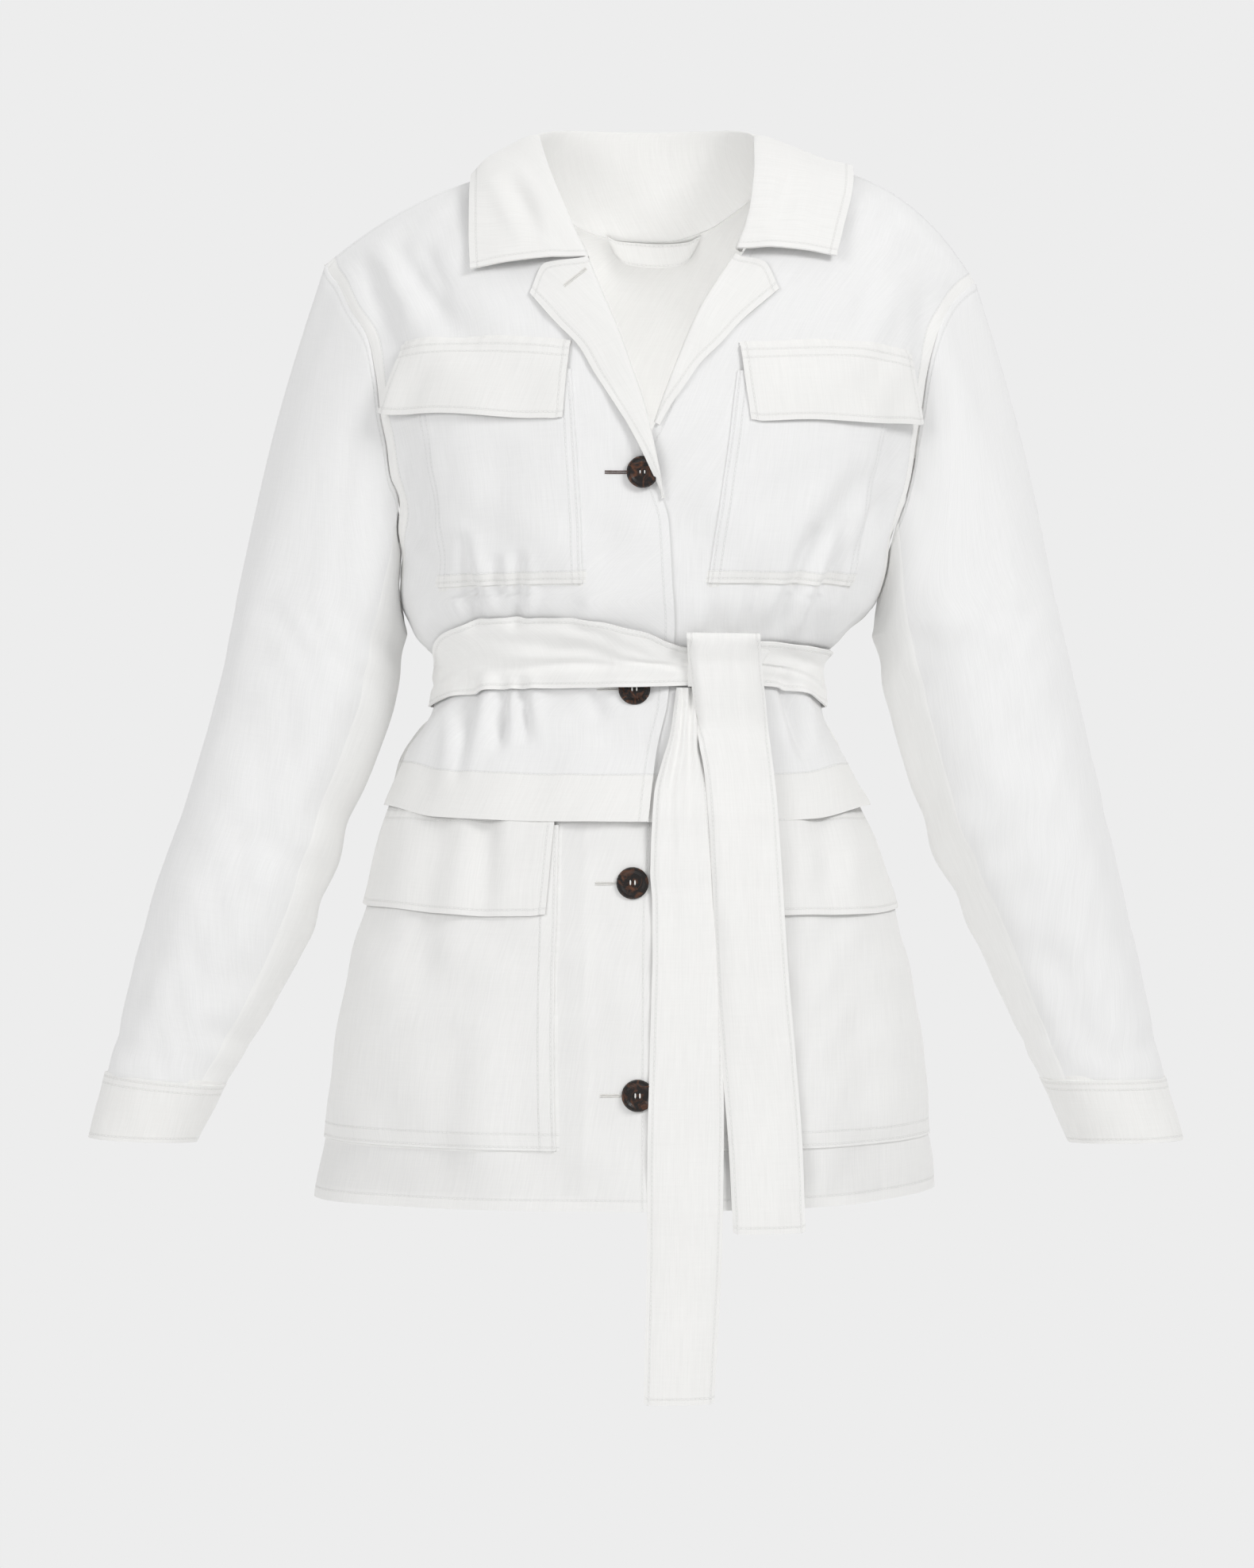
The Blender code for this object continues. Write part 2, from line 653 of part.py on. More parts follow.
def neck_row(turn):
    """Top row of the back: the shoulder seam, cut down between the neck points."""
    aside = np.abs(np.sin(np.radians(turn))) / np.sin(np.radians(NECK_TURN))
    low = mix(NECK_BACK, SHOULDER_ROW, np.clip(aside, 0.0, 1.0) ** NECK_ROUND)
    return np.where(aside >= 1.0 - 1e-9, SHOULDER_ROW, low)


def back_turns(rows, to_armhole):
    """Turns of the back's columns on each row, with a column at each neck point."""
    right = armhole_turn(rows, "right", back=True) if to_armhole else np.full(len(rows), 90.0)
    left = armhole_turn(rows, "left", back=True) if to_armhole else np.full(len(rows), -90.0)
    right = right + SEAM_TURN
    left = left + 360.0 - SEAM_TURN
    share = np.linspace(0.0, 1.0, BACK_COLUMNS + 1)
    middle = np.linspace(180 - NECK_TURN, 180 + NECK_TURN, NECK_COLUMNS + 1)[1:-1]
    first = mix(right[:, None], 180 - NECK_TURN, share)
    last = mix(180 + NECK_TURN, left[:, None], share)
    return np.concatenate([first, np.tile(middle, (len(rows), 1)), last], axis=1)


def make_backs():
    """Model the back of each layer, the upper one up to the neck curve."""
    rows = np.array(BODICE_ROWS, float)
    turn = back_turns(rows, to_armhole=True)
    share = (rows - BODICE_HEM) / (SHOULDER_ROW - BODICE_HEM)
    row = BODICE_HEM + (neck_row(turn[-1]) - BODICE_HEM) * share[:, None]
    points, normals = face(BODICE, row, turn)
    points[-1, :, 1] += SEAM / 2
    sheet("upper_back", points, normals, WALL, LINEN)
    upper = points
    rows = np.array(SKIRT_ROWS, float)
    turn = back_turns(rows, to_armhole=False)
    row = np.repeat(rows[:, None], turn.shape[1], axis=1)
    points, normals = face(SKIRT, row, turn)
    catch_top(points, row, turn)
    sheet("lower_back", points, normals, WALL, THIN_LINEN)
    return upper


def armhole_line(side):
    """Armhole seam from the shoulder point down the front, and down the back."""
    rows = np.linspace(SHOULDER_ROW, UNDERARM_ROW, 80)
    lines = []
    for back in (False, True):
        turn = armhole_turn(rows, side, back=back)
        lines.append(face(BODICE, rows, turn)[0])
    return lines


def along_line(line, share):
    """Points at equal shares of a line's length."""
    run = np.concatenate([[0.0], np.cumsum(np.linalg.norm(np.diff(line, axis=0), axis=1))])
    want = share * run[-1]
    return np.stack([np.interp(want, run, line[:, i]) for i in range(3)], axis=-1)


class Sleeve:
    """A sleeve as a function of the turn round the arm and the step down it."""

    def __init__(self, side, sections):
        self.out = -1.0 if side == "left" else 1.0
        self.sections = sections
        self.front, self.back = armhole_line(side)

    def section(self, step, turn):
        """Ellipse across the arm: turn 0 is the outer side, 90 the front, 180 the inner."""
        read = {name: self.sections.at(name, step) for name in self.sections.columns}
        outer = np.stack([read["x_out"], read["y"], read["z_out"]], axis=-1)
        inner = np.stack([read["x_in"], read["y"], read["z_in"]], axis=-1)
        angle = np.radians(turn)[..., None]
        ahead = np.stack([0 * read["y"], -read["depth"], 0 * read["y"]], axis=-1)
        return (outer + inner) / 2 + (outer - inner) / 2 * np.cos(angle) + ahead * np.sin(angle)

    def head(self, turn):
        """The armhole seam, set off from the body by the seam's gap."""
        around = turn % 360.0
        front = along_line(self.front, np.clip(around, 0, 180) / 180.0)
        back = along_line(self.back, np.clip(360.0 - around, 0, 180) / 180.0)
        seam = np.where((around <= 180.0)[..., None], front, back)
        return seam + np.array([self.out * SLEEVE_SET, 0.0, -SEAM])

    def points(self, step, turn):
        step, turn = np.broadcast_arrays(np.asarray(step, float), np.asarray(turn, float))
        share = np.clip(step, 0.0, 1.0)[..., None]
        below = self.section(np.maximum(step, 1.0), turn)
        crown = SLEEVE_HEAD * np.sin(np.pi * share[..., 0]) * np.cos(np.radians(turn))
        crown = np.maximum(crown, 0.0) * self.out
        points = mix(self.head(turn), below, share)
        points[..., 0] += crown
        return points

    def normals(self, step, turn):
        step, turn = np.broadcast_arrays(np.asarray(step, float), np.asarray(turn, float))
        around = self.points(step, turn + 1.0) - self.points(step, turn - 1.0)
        low = np.maximum(step - 0.04, 0.0)
        down = self.points(step + 0.04, turn) - self.points(low, turn)
        return unit(np.cross(around, down)) * self.out


def make_sleeve(side, sections):
    """Model the two pieces of a sleeve and its cuff."""
    sleeve = Sleeve(side, sections)
    steps = np.array([0, 0.15, 0.35, 0.6, 0.8, 1, 1.5, 2, 2.5, 3, 3.5, 4, 4.5, 5, 5.5, 6])
    steps = steps[:, None]
    front, back = SLEEVE_SEAM_FRONT, SLEEVE_SEAM_BACK
    under = np.linspace(front + SLEEVE_GAP, back - SLEEVE_GAP, SLEEVE_UNDER_COLUMNS + 1)
    top = np.linspace(back - 360 + SLEEVE_GAP, front - SLEEVE_GAP, SLEEVE_TOP_COLUMNS + 1)
    for part, turn in (("top", top), ("under", under)):
        points, normals = sleeve.points(steps, turn), sleeve.normals(steps, turn)
        sheet(f"sleeve_{side}_{part}", points, normals, WALL, LINEN)
    turn = np.arange(CUFF_COLUMNS) * 360.0 / CUFF_COLUMNS
    down = np.array([6.0, 6.5, 7.0])[:, None]
    points, normals = sleeve.points(down, turn), sleeve.normals(down, turn)
    points = points + normals * CUFF_OUT
    points[0, :, 2] -= SEAM + WALL * 0.3
    sheet(f"cuff_{side}", points, normals, DOUBLE, DOUBLE_LINEN, closed=True)


def rolled(edge, fold, seam):
    """Points across the collar, from its outer edge over the fold to its seam."""
    down_fall, down_stand = unit(edge - fold), unit(seam - fold)
    aside = unit(down_fall - down_stand)
    tight = 1 - np.linalg.norm(down_fall - down_stand, axis=-1, keepdims=True) / 2
    start = fold + (down_fall + aside * tight) * ROLL
    end = fold + (down_stand - aside * tight) * ROLL
    crest = fold + (start + end - fold * 2) * 0.12
    outward = unit(np.cross(np.gradient(fold, axis=0), edge - fold))
    away = np.sum(outward * (mix(edge, fold, 0.5) - (0.0, 10.0, -60.0)), axis=-1)
    outward = outward * np.sign(away)[:, None] * COLLAR_BULGE
    stand = np.linalg.norm(seam - end, axis=-1) / np.linalg.norm(edge - start, axis=-1)
    over_seam = mix(start, edge, np.clip(stand, 0.25, 0.6)[:, None])
    points = np.stack([edge, mix(edge, over_seam, 0.5) + outward, over_seam + outward, start])
    ridge = COLLAR_RIDGE * np.exp(-((points[..., 1] - 6.0) / 25.0) ** 2)
    points = off_body(points, COLLAR_ROOM + ridge)
    run = seam - end
    for _ in range(2):
        share = np.sum((points - end) * run, axis=-1) / np.sum(run * run, axis=-1)
        nearest = end + np.clip(share, 0.0, 1.0)[..., None] * run
        lack = COLLAR_WALL * 2 + COLLAR_APART - np.linalg.norm(points - nearest, axis=-1)
        points[:3] += (aside * np.maximum(lack, 0.0)[..., None])[:3]
    return np.stack([*points, crest, end, mix(end, seam, 0.5), seam])


def off_body(points, room):
    """Push points out of the bodice until they have room over its outer face."""
    row, turn = np.meshgrid(np.linspace(-150.0, SHOULDER_ROW, 120), np.arange(0.0, 360.0, 1.5))
    raised = np.cos(np.radians(turn)) > 0
    ground, normals = face(BODICE, row, turn)
    ground = ground + normals * (raised * overlap_relief(ground))[..., None]
    ground, normals = ground.reshape(-1, 3), normals.reshape(-1, 3)
    for _ in range(3):
        apart = points[..., None, :] - ground
        nearest = np.argmin(np.sum(apart ** 2, axis=-1), axis=-1)
        normal = normals[nearest]
        height = np.sum((points - ground[nearest]) * normal, axis=-1)
        points = points + normal * np.maximum(room - height, 0.0)[..., None]
    return points


def neck_line(panel, back, side):
    """Neck seam's corners, from the gorge over the shoulder to the centre back."""
    gorge = BODICE_ROWS.index(GORGE_ROW)
    column = -1 if side == "left" else 0
    front = panel.points[gorge:, column]
    middle = back.shape[1] // 2
    neck_half = NECK_COLUMNS // 2
    rear = back[-1, middle - neck_half:middle + neck_half + 1]
    rear = rear[neck_half:][::-1] if side == "left" else rear[:neck_half + 1]
    return np.concatenate([front, rear[1:]]), len(front) - 1


def make_collar(panels, back):
    """Model the collar: a stand inside, a fold, and a fall that lies on the shoulders."""
    strips = []
    for side, table in (("right", COLLAR_RIGHT), ("left", COLLAR_LEFT)):
        line, shoulder = neck_line(panels[f"bodice_{side}"], back, side)
        corner = np.arange((len(line) - 1) * COLLAR_HALVES + 1) / COLLAR_HALVES
        rear = (corner - shoulder) / (len(line) - 1 - shoulder)
        step = np.where(corner <= shoulder, corner / shoulder * 0.6, 0.6 + rear * 0.4)
        neck = np.stack([np.interp(corner, np.arange(len(line)), line[:, i]) for i in range(3)],
                        axis=-1)
        fold = np.stack([table.at(f"fold_{axis}", step) for axis in "xyz"], axis=-1)
        edge = np.stack([table.at(f"edge_{axis}", step) for axis in "xyz"], axis=-1)
        seam = neck + unit(fold - neck) * (SEAM + 0.5)
        low = np.array([0.0, 8.0, -1.0]) + fold
        near = smooth_step(0.16, 0.0, step)[:, None]
        strips.append(rolled(edge, fold, mix(seam, low, near)))
    points = np.concatenate([strips[0], strips[1][:, -2::-1]], axis=1)
    sheet("collar", points, grid_normals(points), COLLAR_WALL, DOUBLE_LINEN)


def make_lapel(side, stations, notch, raised):
    """Model a lapel, folded back over its front and hooked round the front's edge."""
    sections = []
    for place, station in enumerate(reversed(stations)):
        roll, edge = np.array(station["roll"], float), np.array(station["edge"], float)
        top = place == len(stations) - 1
        mid = np.array(notch, float) if top else mix(edge, roll, 0.4)
        room, leg = station["room"], station["leg"]
        back = unit(edge - roll)
        turn = min(LAPEL_TURN, 0.4 * np.linalg.norm(edge - roll))
        across = ((edge, room), (mid, room + 0.3), (roll + back * turn, room + 0.2),
                  (roll + back * 0.6, room - 0.5), (roll, room - 1.5), (roll, room - leg))
        found = [face(BODICE, *row_at(BODICE, *spot), out=out, raised=raised)[0]
                 for spot, out in across]
        sections.append(np.stack(found))
    points = np.stack(sections)
    if side == "right":
        points = points[:, ::-1]
    sheet(f"lapel_{side}", points, grid_normals(points), LAPEL_WALL, DOUBLE_LINEN)


def patch(panel, corners, columns, rows):
    """Rows and turns of a four-sided patch on a panel, from its low edge up."""
    place = [np.array(row_at(panel.layer, x, z)) for x, z in corners]
    top_left, top_right, low_right, low_left = place
    along = np.linspace(0.0, 1.0, columns + 1)[None, :, None]
    up = np.linspace(0.0, 1.0, rows + 1)[:, None, None]
    low = mix(low_left, low_right, along)
    top = mix(top_left, top_right, along)
    spread = mix(low, top, up)
    return spread[..., 0], spread[..., 1], along[..., 0], up[..., 0]


def settled(panel, row, turn, out, wall):
    """Raise a patch until none of its facets dips too close to the panel."""
    for _ in range(8):
        points, normals = panel.at(row, turn, out)
        want = np.zeros(out.shape)
        for i, j in ((0, 1), (1, 0), (1, 1)):
            low, high = (slice(None, -1 if i else None), slice(None, -1 if j else None)), \
                (slice(i, None), slice(j, None))
            middle = (points[low] + points[high]) / 2
            ground, normal = panel.at((row[low] + row[high]) / 2, (turn[low] + turn[high]) / 2,
                                      np.zeros(middle.shape[:-1]))
            lack = LIE * 0.7 + wall - np.sum((middle - ground) * normal, axis=-1)
            want[low] = np.maximum(want[low], lack)
            want[high] = np.maximum(want[high], lack)
        out = out + np.maximum(want, 0.0)
    return points, normals


def sag(along, down):
    """How far a pouch stands out: most below its middle, nothing at its edges."""
    across = np.sin(np.pi * np.clip(along, 0.0, 1.0)) ** 0.8
    return across * (down ** 1.3 * (1 - down) ** 0.6) / 0.306


def make_pocket(name, panel, corners, bulge, columns, rows, material):
    """Model a patch pocket on its panel."""
    row, turn, along, up = patch(panel, corners, columns, rows)
    out = LIE + WALL + bulge * sag(along, 1 - up)
    points, normals = settled(panel, row, turn, out, WALL)
    sheet(name, points, normals, WALL, material)


def make_flap(name, panel, corners, bulge, room, columns, rows):
    """Model a pocket flap, which lies over its pocket and stands off along its low edge."""
    row, turn, along, up = patch(panel, corners, columns, rows)
    lift = np.sin(np.pi * np.clip(along * 0.9 + 0.05, 0.0, 1.0)) ** 0.8 * (1 - up)
    thickness = WALL + room + DOUBLE
    points, normals = settled(panel, row, turn, LIE + thickness + bulge * 0.9 * lift, thickness)
    sheet(name, points, normals, DOUBLE, DOUBLE_LINEN)


def make_pockets(panels):
    for side in ("left", "right"):
        bodice, skirt = panels[f"bodice_{side}"], panels[f"skirt_{side}"]
        make_pocket(f"chest_pocket_{side}", bodice, CHEST_POCKETS[side], CHEST_BULGE, 6, 7, LINEN)
        make_flap(f"chest_flap_{side}", bodice, CHEST_FLAPS[side], CHEST_BULGE,
                  CHEST_FLAP_ROOM, 6, 3)
        make_pocket(f"skirt_pocket_{side}", skirt, SKIRT_POCKETS[side], SKIRT_BULGE, 7, 9,
                    THIN_LINEN)
        make_flap(f"skirt_flap_{side}", skirt, SKIRT_FLAPS[side], SKIRT_BULGE,
                  SKIRT_FLAP_ROOM, 7, 3)


def belt_out(turn):
    """How far the belt's face stands off the bodice, more over the overlap and button."""
    points = ring(BODICE, -345.0 + 0 * turn, turn)
    front = np.abs((turn + 180.0) % 360.0 - 180.0) < 90.0
    raised = np.where(front, overlap_relief(points), 0.0)
    raised = raised * (1 - smooth_step(30.0, 60.0, points[..., 0]))
    button = np.exp(-((turn - BELT_BUTTON_TURN) / BELT_BUTTON_SPREAD) ** 4)
    return BELT_OUT + raised + BELT_BUTTON_OUT * button


def make_belt():
    """Model the belt round the waist and the knot that it is tied in."""
    turn = np.arange(BELT_COLUMNS) * 360.0 / BELT_COLUMNS - 180.0
    up = np.linspace(0.0, 1.0, 5)[:, None]
    row = mix(BELT.at("low", turn), BELT.at("top", turn), up)
    turn = np.broadcast_to(turn, row.shape)
    out = belt_out(turn) + 0.8 * np.sin(np.pi * up)
    points, normals = face(BODICE, row, turn, out=out)
    sheet("belt_band", points, normals, DOUBLE, DOUBLE_LINEN, closed=True)
    turn = np.linspace(*KNOT_TURNS, 8)
    up = np.linspace(0.0, 1.0, 7)[:, None]
    row = mix(KNOT_LOW, KNOT_TOP, up) + 0 * turn
    turn = np.broadcast_to(turn, row.shape)
    across = np.linspace(0.0, 1.0, 8)
    rise = (np.sin(np.pi * across) * np.sin(np.pi * up)) ** 0.6
    thick = KNOT_EDGE + KNOT_RISE * rise
    room = belt_out(turn) + 0.8 + 0.5
    points, normals = face(BODICE, row, turn, out=room + thick)
    sheet("belt_knot", points, normals, thick, DOUBLE_LINEN)


def drape_front(x, z):
    """Depth of the jacket's front at x and z, over the step between the layers."""
    bodice_row = np.maximum(z, BODICE_HEM)
    bodice = ring(BODICE, bodice_row, turn_at(BODICE, bodice_row, x))[..., 1]
    skirt_row = np.clip(z, SKIRT_HEM, -490.0)
    skirt = ring(SKIRT, skirt_row, turn_at(SKIRT, skirt_row, x))[..., 1]
    return mix(skirt, bodice, smooth_step(-490.0, BODICE_HEM, z))


def make_tail(name, stations, columns):
    """Model one hanging end of the belt."""
    across = np.linspace(-1.0, 1.0, columns + 1)
    read = {key: np.array([row[key] for row in stations], float)[:, None] for key in stations[0]}
    x = read["x"] + read["half"] * across
    z = read["z"] + 0 * across
    y = drape_front(x, z) - read["room"]
    points = np.stack([x, y, z], axis=-1)
    sheet(name, points, grid_normals(points), DOUBLE, DOUBLE_LINEN)


def make_button(name, centre, normal):
    """Turn a rimmed, dished button and seat it on the front."""
    radius = BUTTON_RADIUS
    profile = ((0, 0), (radius * 0.9, 0), (radius, 0.9), (radius, 2.1), (radius * 0.92, 3.1),
               (radius * 0.78, 3.1), (radius * 0.62, 2.1), (0, 1.9))
    bm = bmesh.new()
    verts = [bm.verts.new((r * MM, 0.0, h * MM)) for r, h in profile]
    edges = [bm.edges.new(pair) for pair in zip(verts, verts[1:])]
    bmesh.ops.spin(bm, geom=verts + edges, cent=(0, 0, 0), axis=(0, 0, 1),
                   angle=2 * np.pi, steps=BUTTON_STEPS, use_merge=True)
    bmesh.ops.remove_doubles(bm, verts=bm.verts[:], dist=1e-6)
    turned = Vector(normal).to_track_quat("Z", "Y")
    bmesh.ops.rotate(bm, verts=bm.verts[:], cent=(0, 0, 0), matrix=turned.to_matrix())
    bmesh.ops.translate(bm, verts=bm.verts[:], vec=Vector(centre * MM))
    add_object(name, bm, HORN)


def make_buttons(panels):
    for number, button in enumerate(BUTTONS, start=1):
        panel = panels[f"{button['layer']}_left"]
        centre, normal = panel.place(button["x"], button["z"], button["room"])
        make_button(f"button_{number}", centre, normal)


def make_loop():
    """Model the hanger loop, sewn at both ends and bowed off the back's inside."""
    step = np.linspace(0.0, 1.0, LOOP_COLUMNS + 1)
    x, z = LOOP.at("x", step), LOOP.at("z", step)
    run = unit(np.stack([np.gradient(x), np.gradient(z)], axis=-1))
    up = np.linspace(-1.0, 1.0, 3)[:, None]
    wide_x = x - run[:, 1] * LOOP_HALF * up
    wide_z = z + run[:, 0] * LOOP_HALF * up
    turn = 180.0 - turn_at(BODICE, wide_z, wide_x)
    bow = LOOP_BOW * np.sin(np.pi * step) ** 0.7
    points = face(BODICE, wide_z, turn, out=-(WALL + WALL + 1.2 + bow))[0]
    sheet("hanger_loop", points, grid_normals(points), WALL, DOUBLE_LINEN)


def main():
    for obj in list(bpy.data.objects):
        bpy.data.objects.remove(obj, do_unlink=True)
    panels = make_fronts()
    back = make_backs()
    make_sleeve("left", SLEEVE_LEFT)
    make_sleeve("right", SLEEVE_RIGHT)
    make_collar(panels, back)
    make_lapel("left", LAPEL_LEFT, NOTCH_LEFT, raised=True)
    make_lapel("right", LAPEL_RIGHT, NOTCH_RIGHT, raised=False)
    make_pockets(panels)
    make_belt()
    make_tail("belt_tail_right", TAIL_RIGHT, 4)
    make_tail("belt_tail_left", TAIL_LEFT, 4)
    make_buttons(panels)
    make_loop()


main()
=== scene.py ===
"""Looks of the white linen safari jacket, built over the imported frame.

The rings and tables are in millimetres, as in the part's source, and the meshes are in
metres. Left and right are the viewer's. A row is a ring's height before it drops towards
the shoulders, and a turn is the angle round from the centre front.
"""

import math

import bmesh
import bpy
import numpy as np
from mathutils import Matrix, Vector

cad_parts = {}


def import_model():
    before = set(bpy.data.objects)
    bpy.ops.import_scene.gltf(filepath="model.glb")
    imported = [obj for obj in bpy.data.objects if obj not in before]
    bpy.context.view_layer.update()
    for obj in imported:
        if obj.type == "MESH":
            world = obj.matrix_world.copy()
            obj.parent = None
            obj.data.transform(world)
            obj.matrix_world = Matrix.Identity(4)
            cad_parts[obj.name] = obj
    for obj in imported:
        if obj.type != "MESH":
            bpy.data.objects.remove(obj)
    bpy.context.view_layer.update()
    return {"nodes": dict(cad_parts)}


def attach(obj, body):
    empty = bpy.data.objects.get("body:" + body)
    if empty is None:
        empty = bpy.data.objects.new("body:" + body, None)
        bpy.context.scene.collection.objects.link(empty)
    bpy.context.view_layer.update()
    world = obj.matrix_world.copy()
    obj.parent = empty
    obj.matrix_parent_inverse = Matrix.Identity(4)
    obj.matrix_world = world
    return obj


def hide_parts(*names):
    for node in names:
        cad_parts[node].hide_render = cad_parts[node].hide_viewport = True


MM = 0.001

# Cloth: one layer and two, the gap at a seam, the room of the layer caught inside the
# bodice, and how far the left front is raised over the right one
WALL = 1.2
DOUBLE = 1.6
SEAM = 0.3
CAUGHT = 0.6
OVERLAP = 1.9

# Form of the body's rings
FLAT = 0.85
SHOULDER_LEFT = 2.6
SHOULDER_RIGHT = 4.5
SHOULDER_ROW = 3.0
UNDERARM_ROW = -300.0
BODICE_HEM = -443.0
CAUGHT_ROW = -358.0
SKIRT_HEM = -700.0

# Neck opening, where the shoulder seams end and where the back is cut down
NECK_BACK = -45.0
NECK_ROUND = 2.5
NECK_TURN = 23.7

# Columns of the back, on each side of the neck and below it
BACK_COLUMNS = 50
NECK_COLUMNS = 30


def smooth_read(keys, values, key):
    """Read values at key from a monotone cubic through the rows, held level past the ends."""
    gaps = np.diff(keys)
    rates = np.diff(values) / gaps
    slopes = np.concatenate([rates[:1], np.zeros(len(keys) - 2), rates[-1:]])
    before, after = rates[:-1], rates[1:]
    same_way = before * after > 0
    total = np.where(same_way, before + after, 1.0)
    slopes[1:-1] = np.where(same_way, 2 * before * after / total, 0.0)
    key = np.clip(np.asarray(key, float), keys[0], keys[-1])
    low = np.clip(np.searchsorted(keys, key, side="right") - 1, 0, len(keys) - 2)
    gap = gaps[low]
    t = (key - keys[low]) / gap
    near = values[low] * (1 + 2 * t) + slopes[low] * gap * t
    far = values[low + 1] * (3 - 2 * t) - slopes[low + 1] * gap * (1 - t)
    return near * (1 - t) ** 2 + far * t ** 2


class Table:
    """Rows of sizes under named columns, sorted by the first one."""

    def __init__(self, columns, *rows):
        numbers = np.array(sorted(rows), float)
        self.keys = numbers[:, 0]
        self.columns = dict(zip(columns.split(), numbers.T))

    def at(self, name, key):
        if name not in self.columns:
            return np.zeros(np.shape(key))
        return smooth_read(self.keys, self.columns[name], key)


def named_rows(columns, *rows):
    """Rows of sizes under named columns, in the order given."""
    return [dict(zip(columns.split(), row)) for row in rows]


# Rings of the upper layer, from its free hem to the shoulder seam. A drop tilts a ring
# down towards the shoulder point, and front and back are depths from the origin's plane.
BODICE = Table(
    "z centre left right front back middle drop_left drop_right",
    (3, 0, -219, 224, 6, 6, 6, 72, 85),
    (-10, 0, -219, 224, -28, 38, 5, 69, 80),
    (-30, 0, -217, 221, -52, 62, 4, 62, 70),
    (-60, 0, -212, 215, -78, 82, 2, 50, 52),
    (-100, -1, -206, 208, -100, 96, 0, 35, 34),
    (-150, -2, -196, 199, -116, 104, 0, 19, 17),
    (-200, -3, -184, 188, -123, 108, 0, 9, 7),
    (-250, -4, -173, 172, -124, 107, 0, 3, 2),
    (-300, -5, -166, 155, -120, 102, 0, 0, 0),
    (-322, -8, -156, 133, -112, 97, 0, 0, 0),
    (-345, -12, -140, 114.5, -104, 92, 0, 0, 0),
    (-372, -13, -144, 118, -106, 93, 0, 0, 0),
    (-400, -13, -163, 131, -113, 100, 0, -2, -2),
    (-443, -14, -176, 148, -122, 110, 0, -6, -6),
)

# Rings of the thinner under layer, from the jacket's hem up under the belt
SKIRT = Table(
    "z centre left right front back drop_left drop_right",
    (-335, -12, -134, 109, -97, 85, 0, 0),
    (-372, -13, -137, 112, -99, 86, 0, 0),
    (-400, -13, -155, 124, -106, 93, 0, 0),
    (-443, -14, -173, 145, -118, 106, 0, 0),
    (-470, -14, -181, 156, -122, 111, 0, 0),
    (-502, -14, -189, 167, -127, 116, 0, 0),
    (-553, -15, -202, 178, -131, 121, 0, 0),
    (-640, -16, -216, 188, -136, 127, 0, -2),
    (-700, -16, -225, 193, -139, 131, 0, -6),
)

# Armhole seam on the fronts, as the ring's row and how far out it lies
ARMHOLE = Table(
    "z left right",
    (3, -219, 224),
    (-10, -215.5, 220.5),
    (-30, -209, 214),
    (-60, -200, 205),
    (-100, -187, 193),
    (-150, -179, 186),
    (-200, -170, 179),
    (-250, -164, 165),
    (-280, -166, 159.5),
    (-300, -166, 155),
)

# Free front edges below, then the line under each lapel's roll, then the neck seam
BODICE_EDGE = Table(
    "z left right",
    (3, -88, 88),
    (-20, -78.5, 85.5),
    (-36, -69, 80),
    (-50, -59, 75),
    (-74, -43, 61),
    (-102, -31.6, 42),
    (-127.5, -21.3, 29),
    (-151.6, -13, 18.5),
    (-169.5, -6.8, 12),
    (-191.5, -1, 3),
    (-214, 3.7, -11),
    (-232, 8, -24),
    (-250, 13.5, -31),
    (-292, 16, -32),
    (-315, 17.5, -32),
    (-372, 12, -32),
    (-400, 6, -32),
    (-443, 0, -32),
)
SKIRT_EDGE = Table(
    "z left right",
    (-340, -40, 14),
    (-358, -40, 14),
    (-385, 7, 12),
    (-412, 7, -32),
    (-443, 7, -32),
    (-512, 3, -32),
    (-700, 2, -32),
)

# Gathers where the belt draws the cloth in: soft ridges that run up and down from it
GATHERS = named_rows(
    "turn height width up down",
    (-66, 3.5, 8, 60, 50),
    (-48, 4.5, 7, 55, 60),
    (-31, 3.5, 7, 40, 60),
    (16, 2.2, 6, 30, 55),
    (46, 4.0, 7, 60, 50),
    (66, 5.0, 8, 80, 45),
    (108, 4.0, 9, 60, 55),
    (134, 4.5, 8, 70, 60),
    (158, 3.5, 8, 55, 65),
    (184, 4.5, 8, 75, 55),
    (208, 3.5, 8, 50, 60),
    (232, 5.0, 9, 70, 60),
    (256, 4.0, 8, 60, 45),
)

# Drape creases on the fronts: soft troughs from one place to another
CREASES = named_rows(
    "start end depth width",
    ((-180, -84), (-168, -128), 2.4, 13),
    ((-156, -62), (-120, -124), 2.4, 13),
    ((178, -92), (178, -130), 2.0, 13),
    ((132, -70), (126, -122), 1.6, 13),
    ((118, -285), (84, -322), 2.5, 12),
    ((-128, -270), (-110, -318), 2.2, 12),
)

# Belt's edges round the waist, by turn from the centre front
BELT = Table(
    "turn top low",
    (-180, -322, -370),
    (-135, -330, -371),
    (-90, -341, -371),
    (-54, -319, -363),
    (-37, -312.5, -360),
    (-16, -312.5, -360),
    (0, -319, -360),
    (16.4, -331, -358.5),
    (40, -327.4, -358),
    (56, -328, -360.5),
    (90, -331, -371),
    (135, -326, -371),
    (180, -322, -370),
)
BELT_OUT = 3.4
BELT_BUTTON_OUT = 4.0
BELT_BUTTON_TURN = 2.0
BELT_BUTTON_SPREAD = 8.0
BELT_ROW = -345.0
OVERLAP_END = (30.0, 60.0)

# Knot on the belt, by turn and height
KNOT_TURNS = (17.0, 41.0)
KNOT_LOW = -359.5
KNOT_TOP = -331.0
KNOT_EDGE = 3.0
KNOT_RISE = 10.0

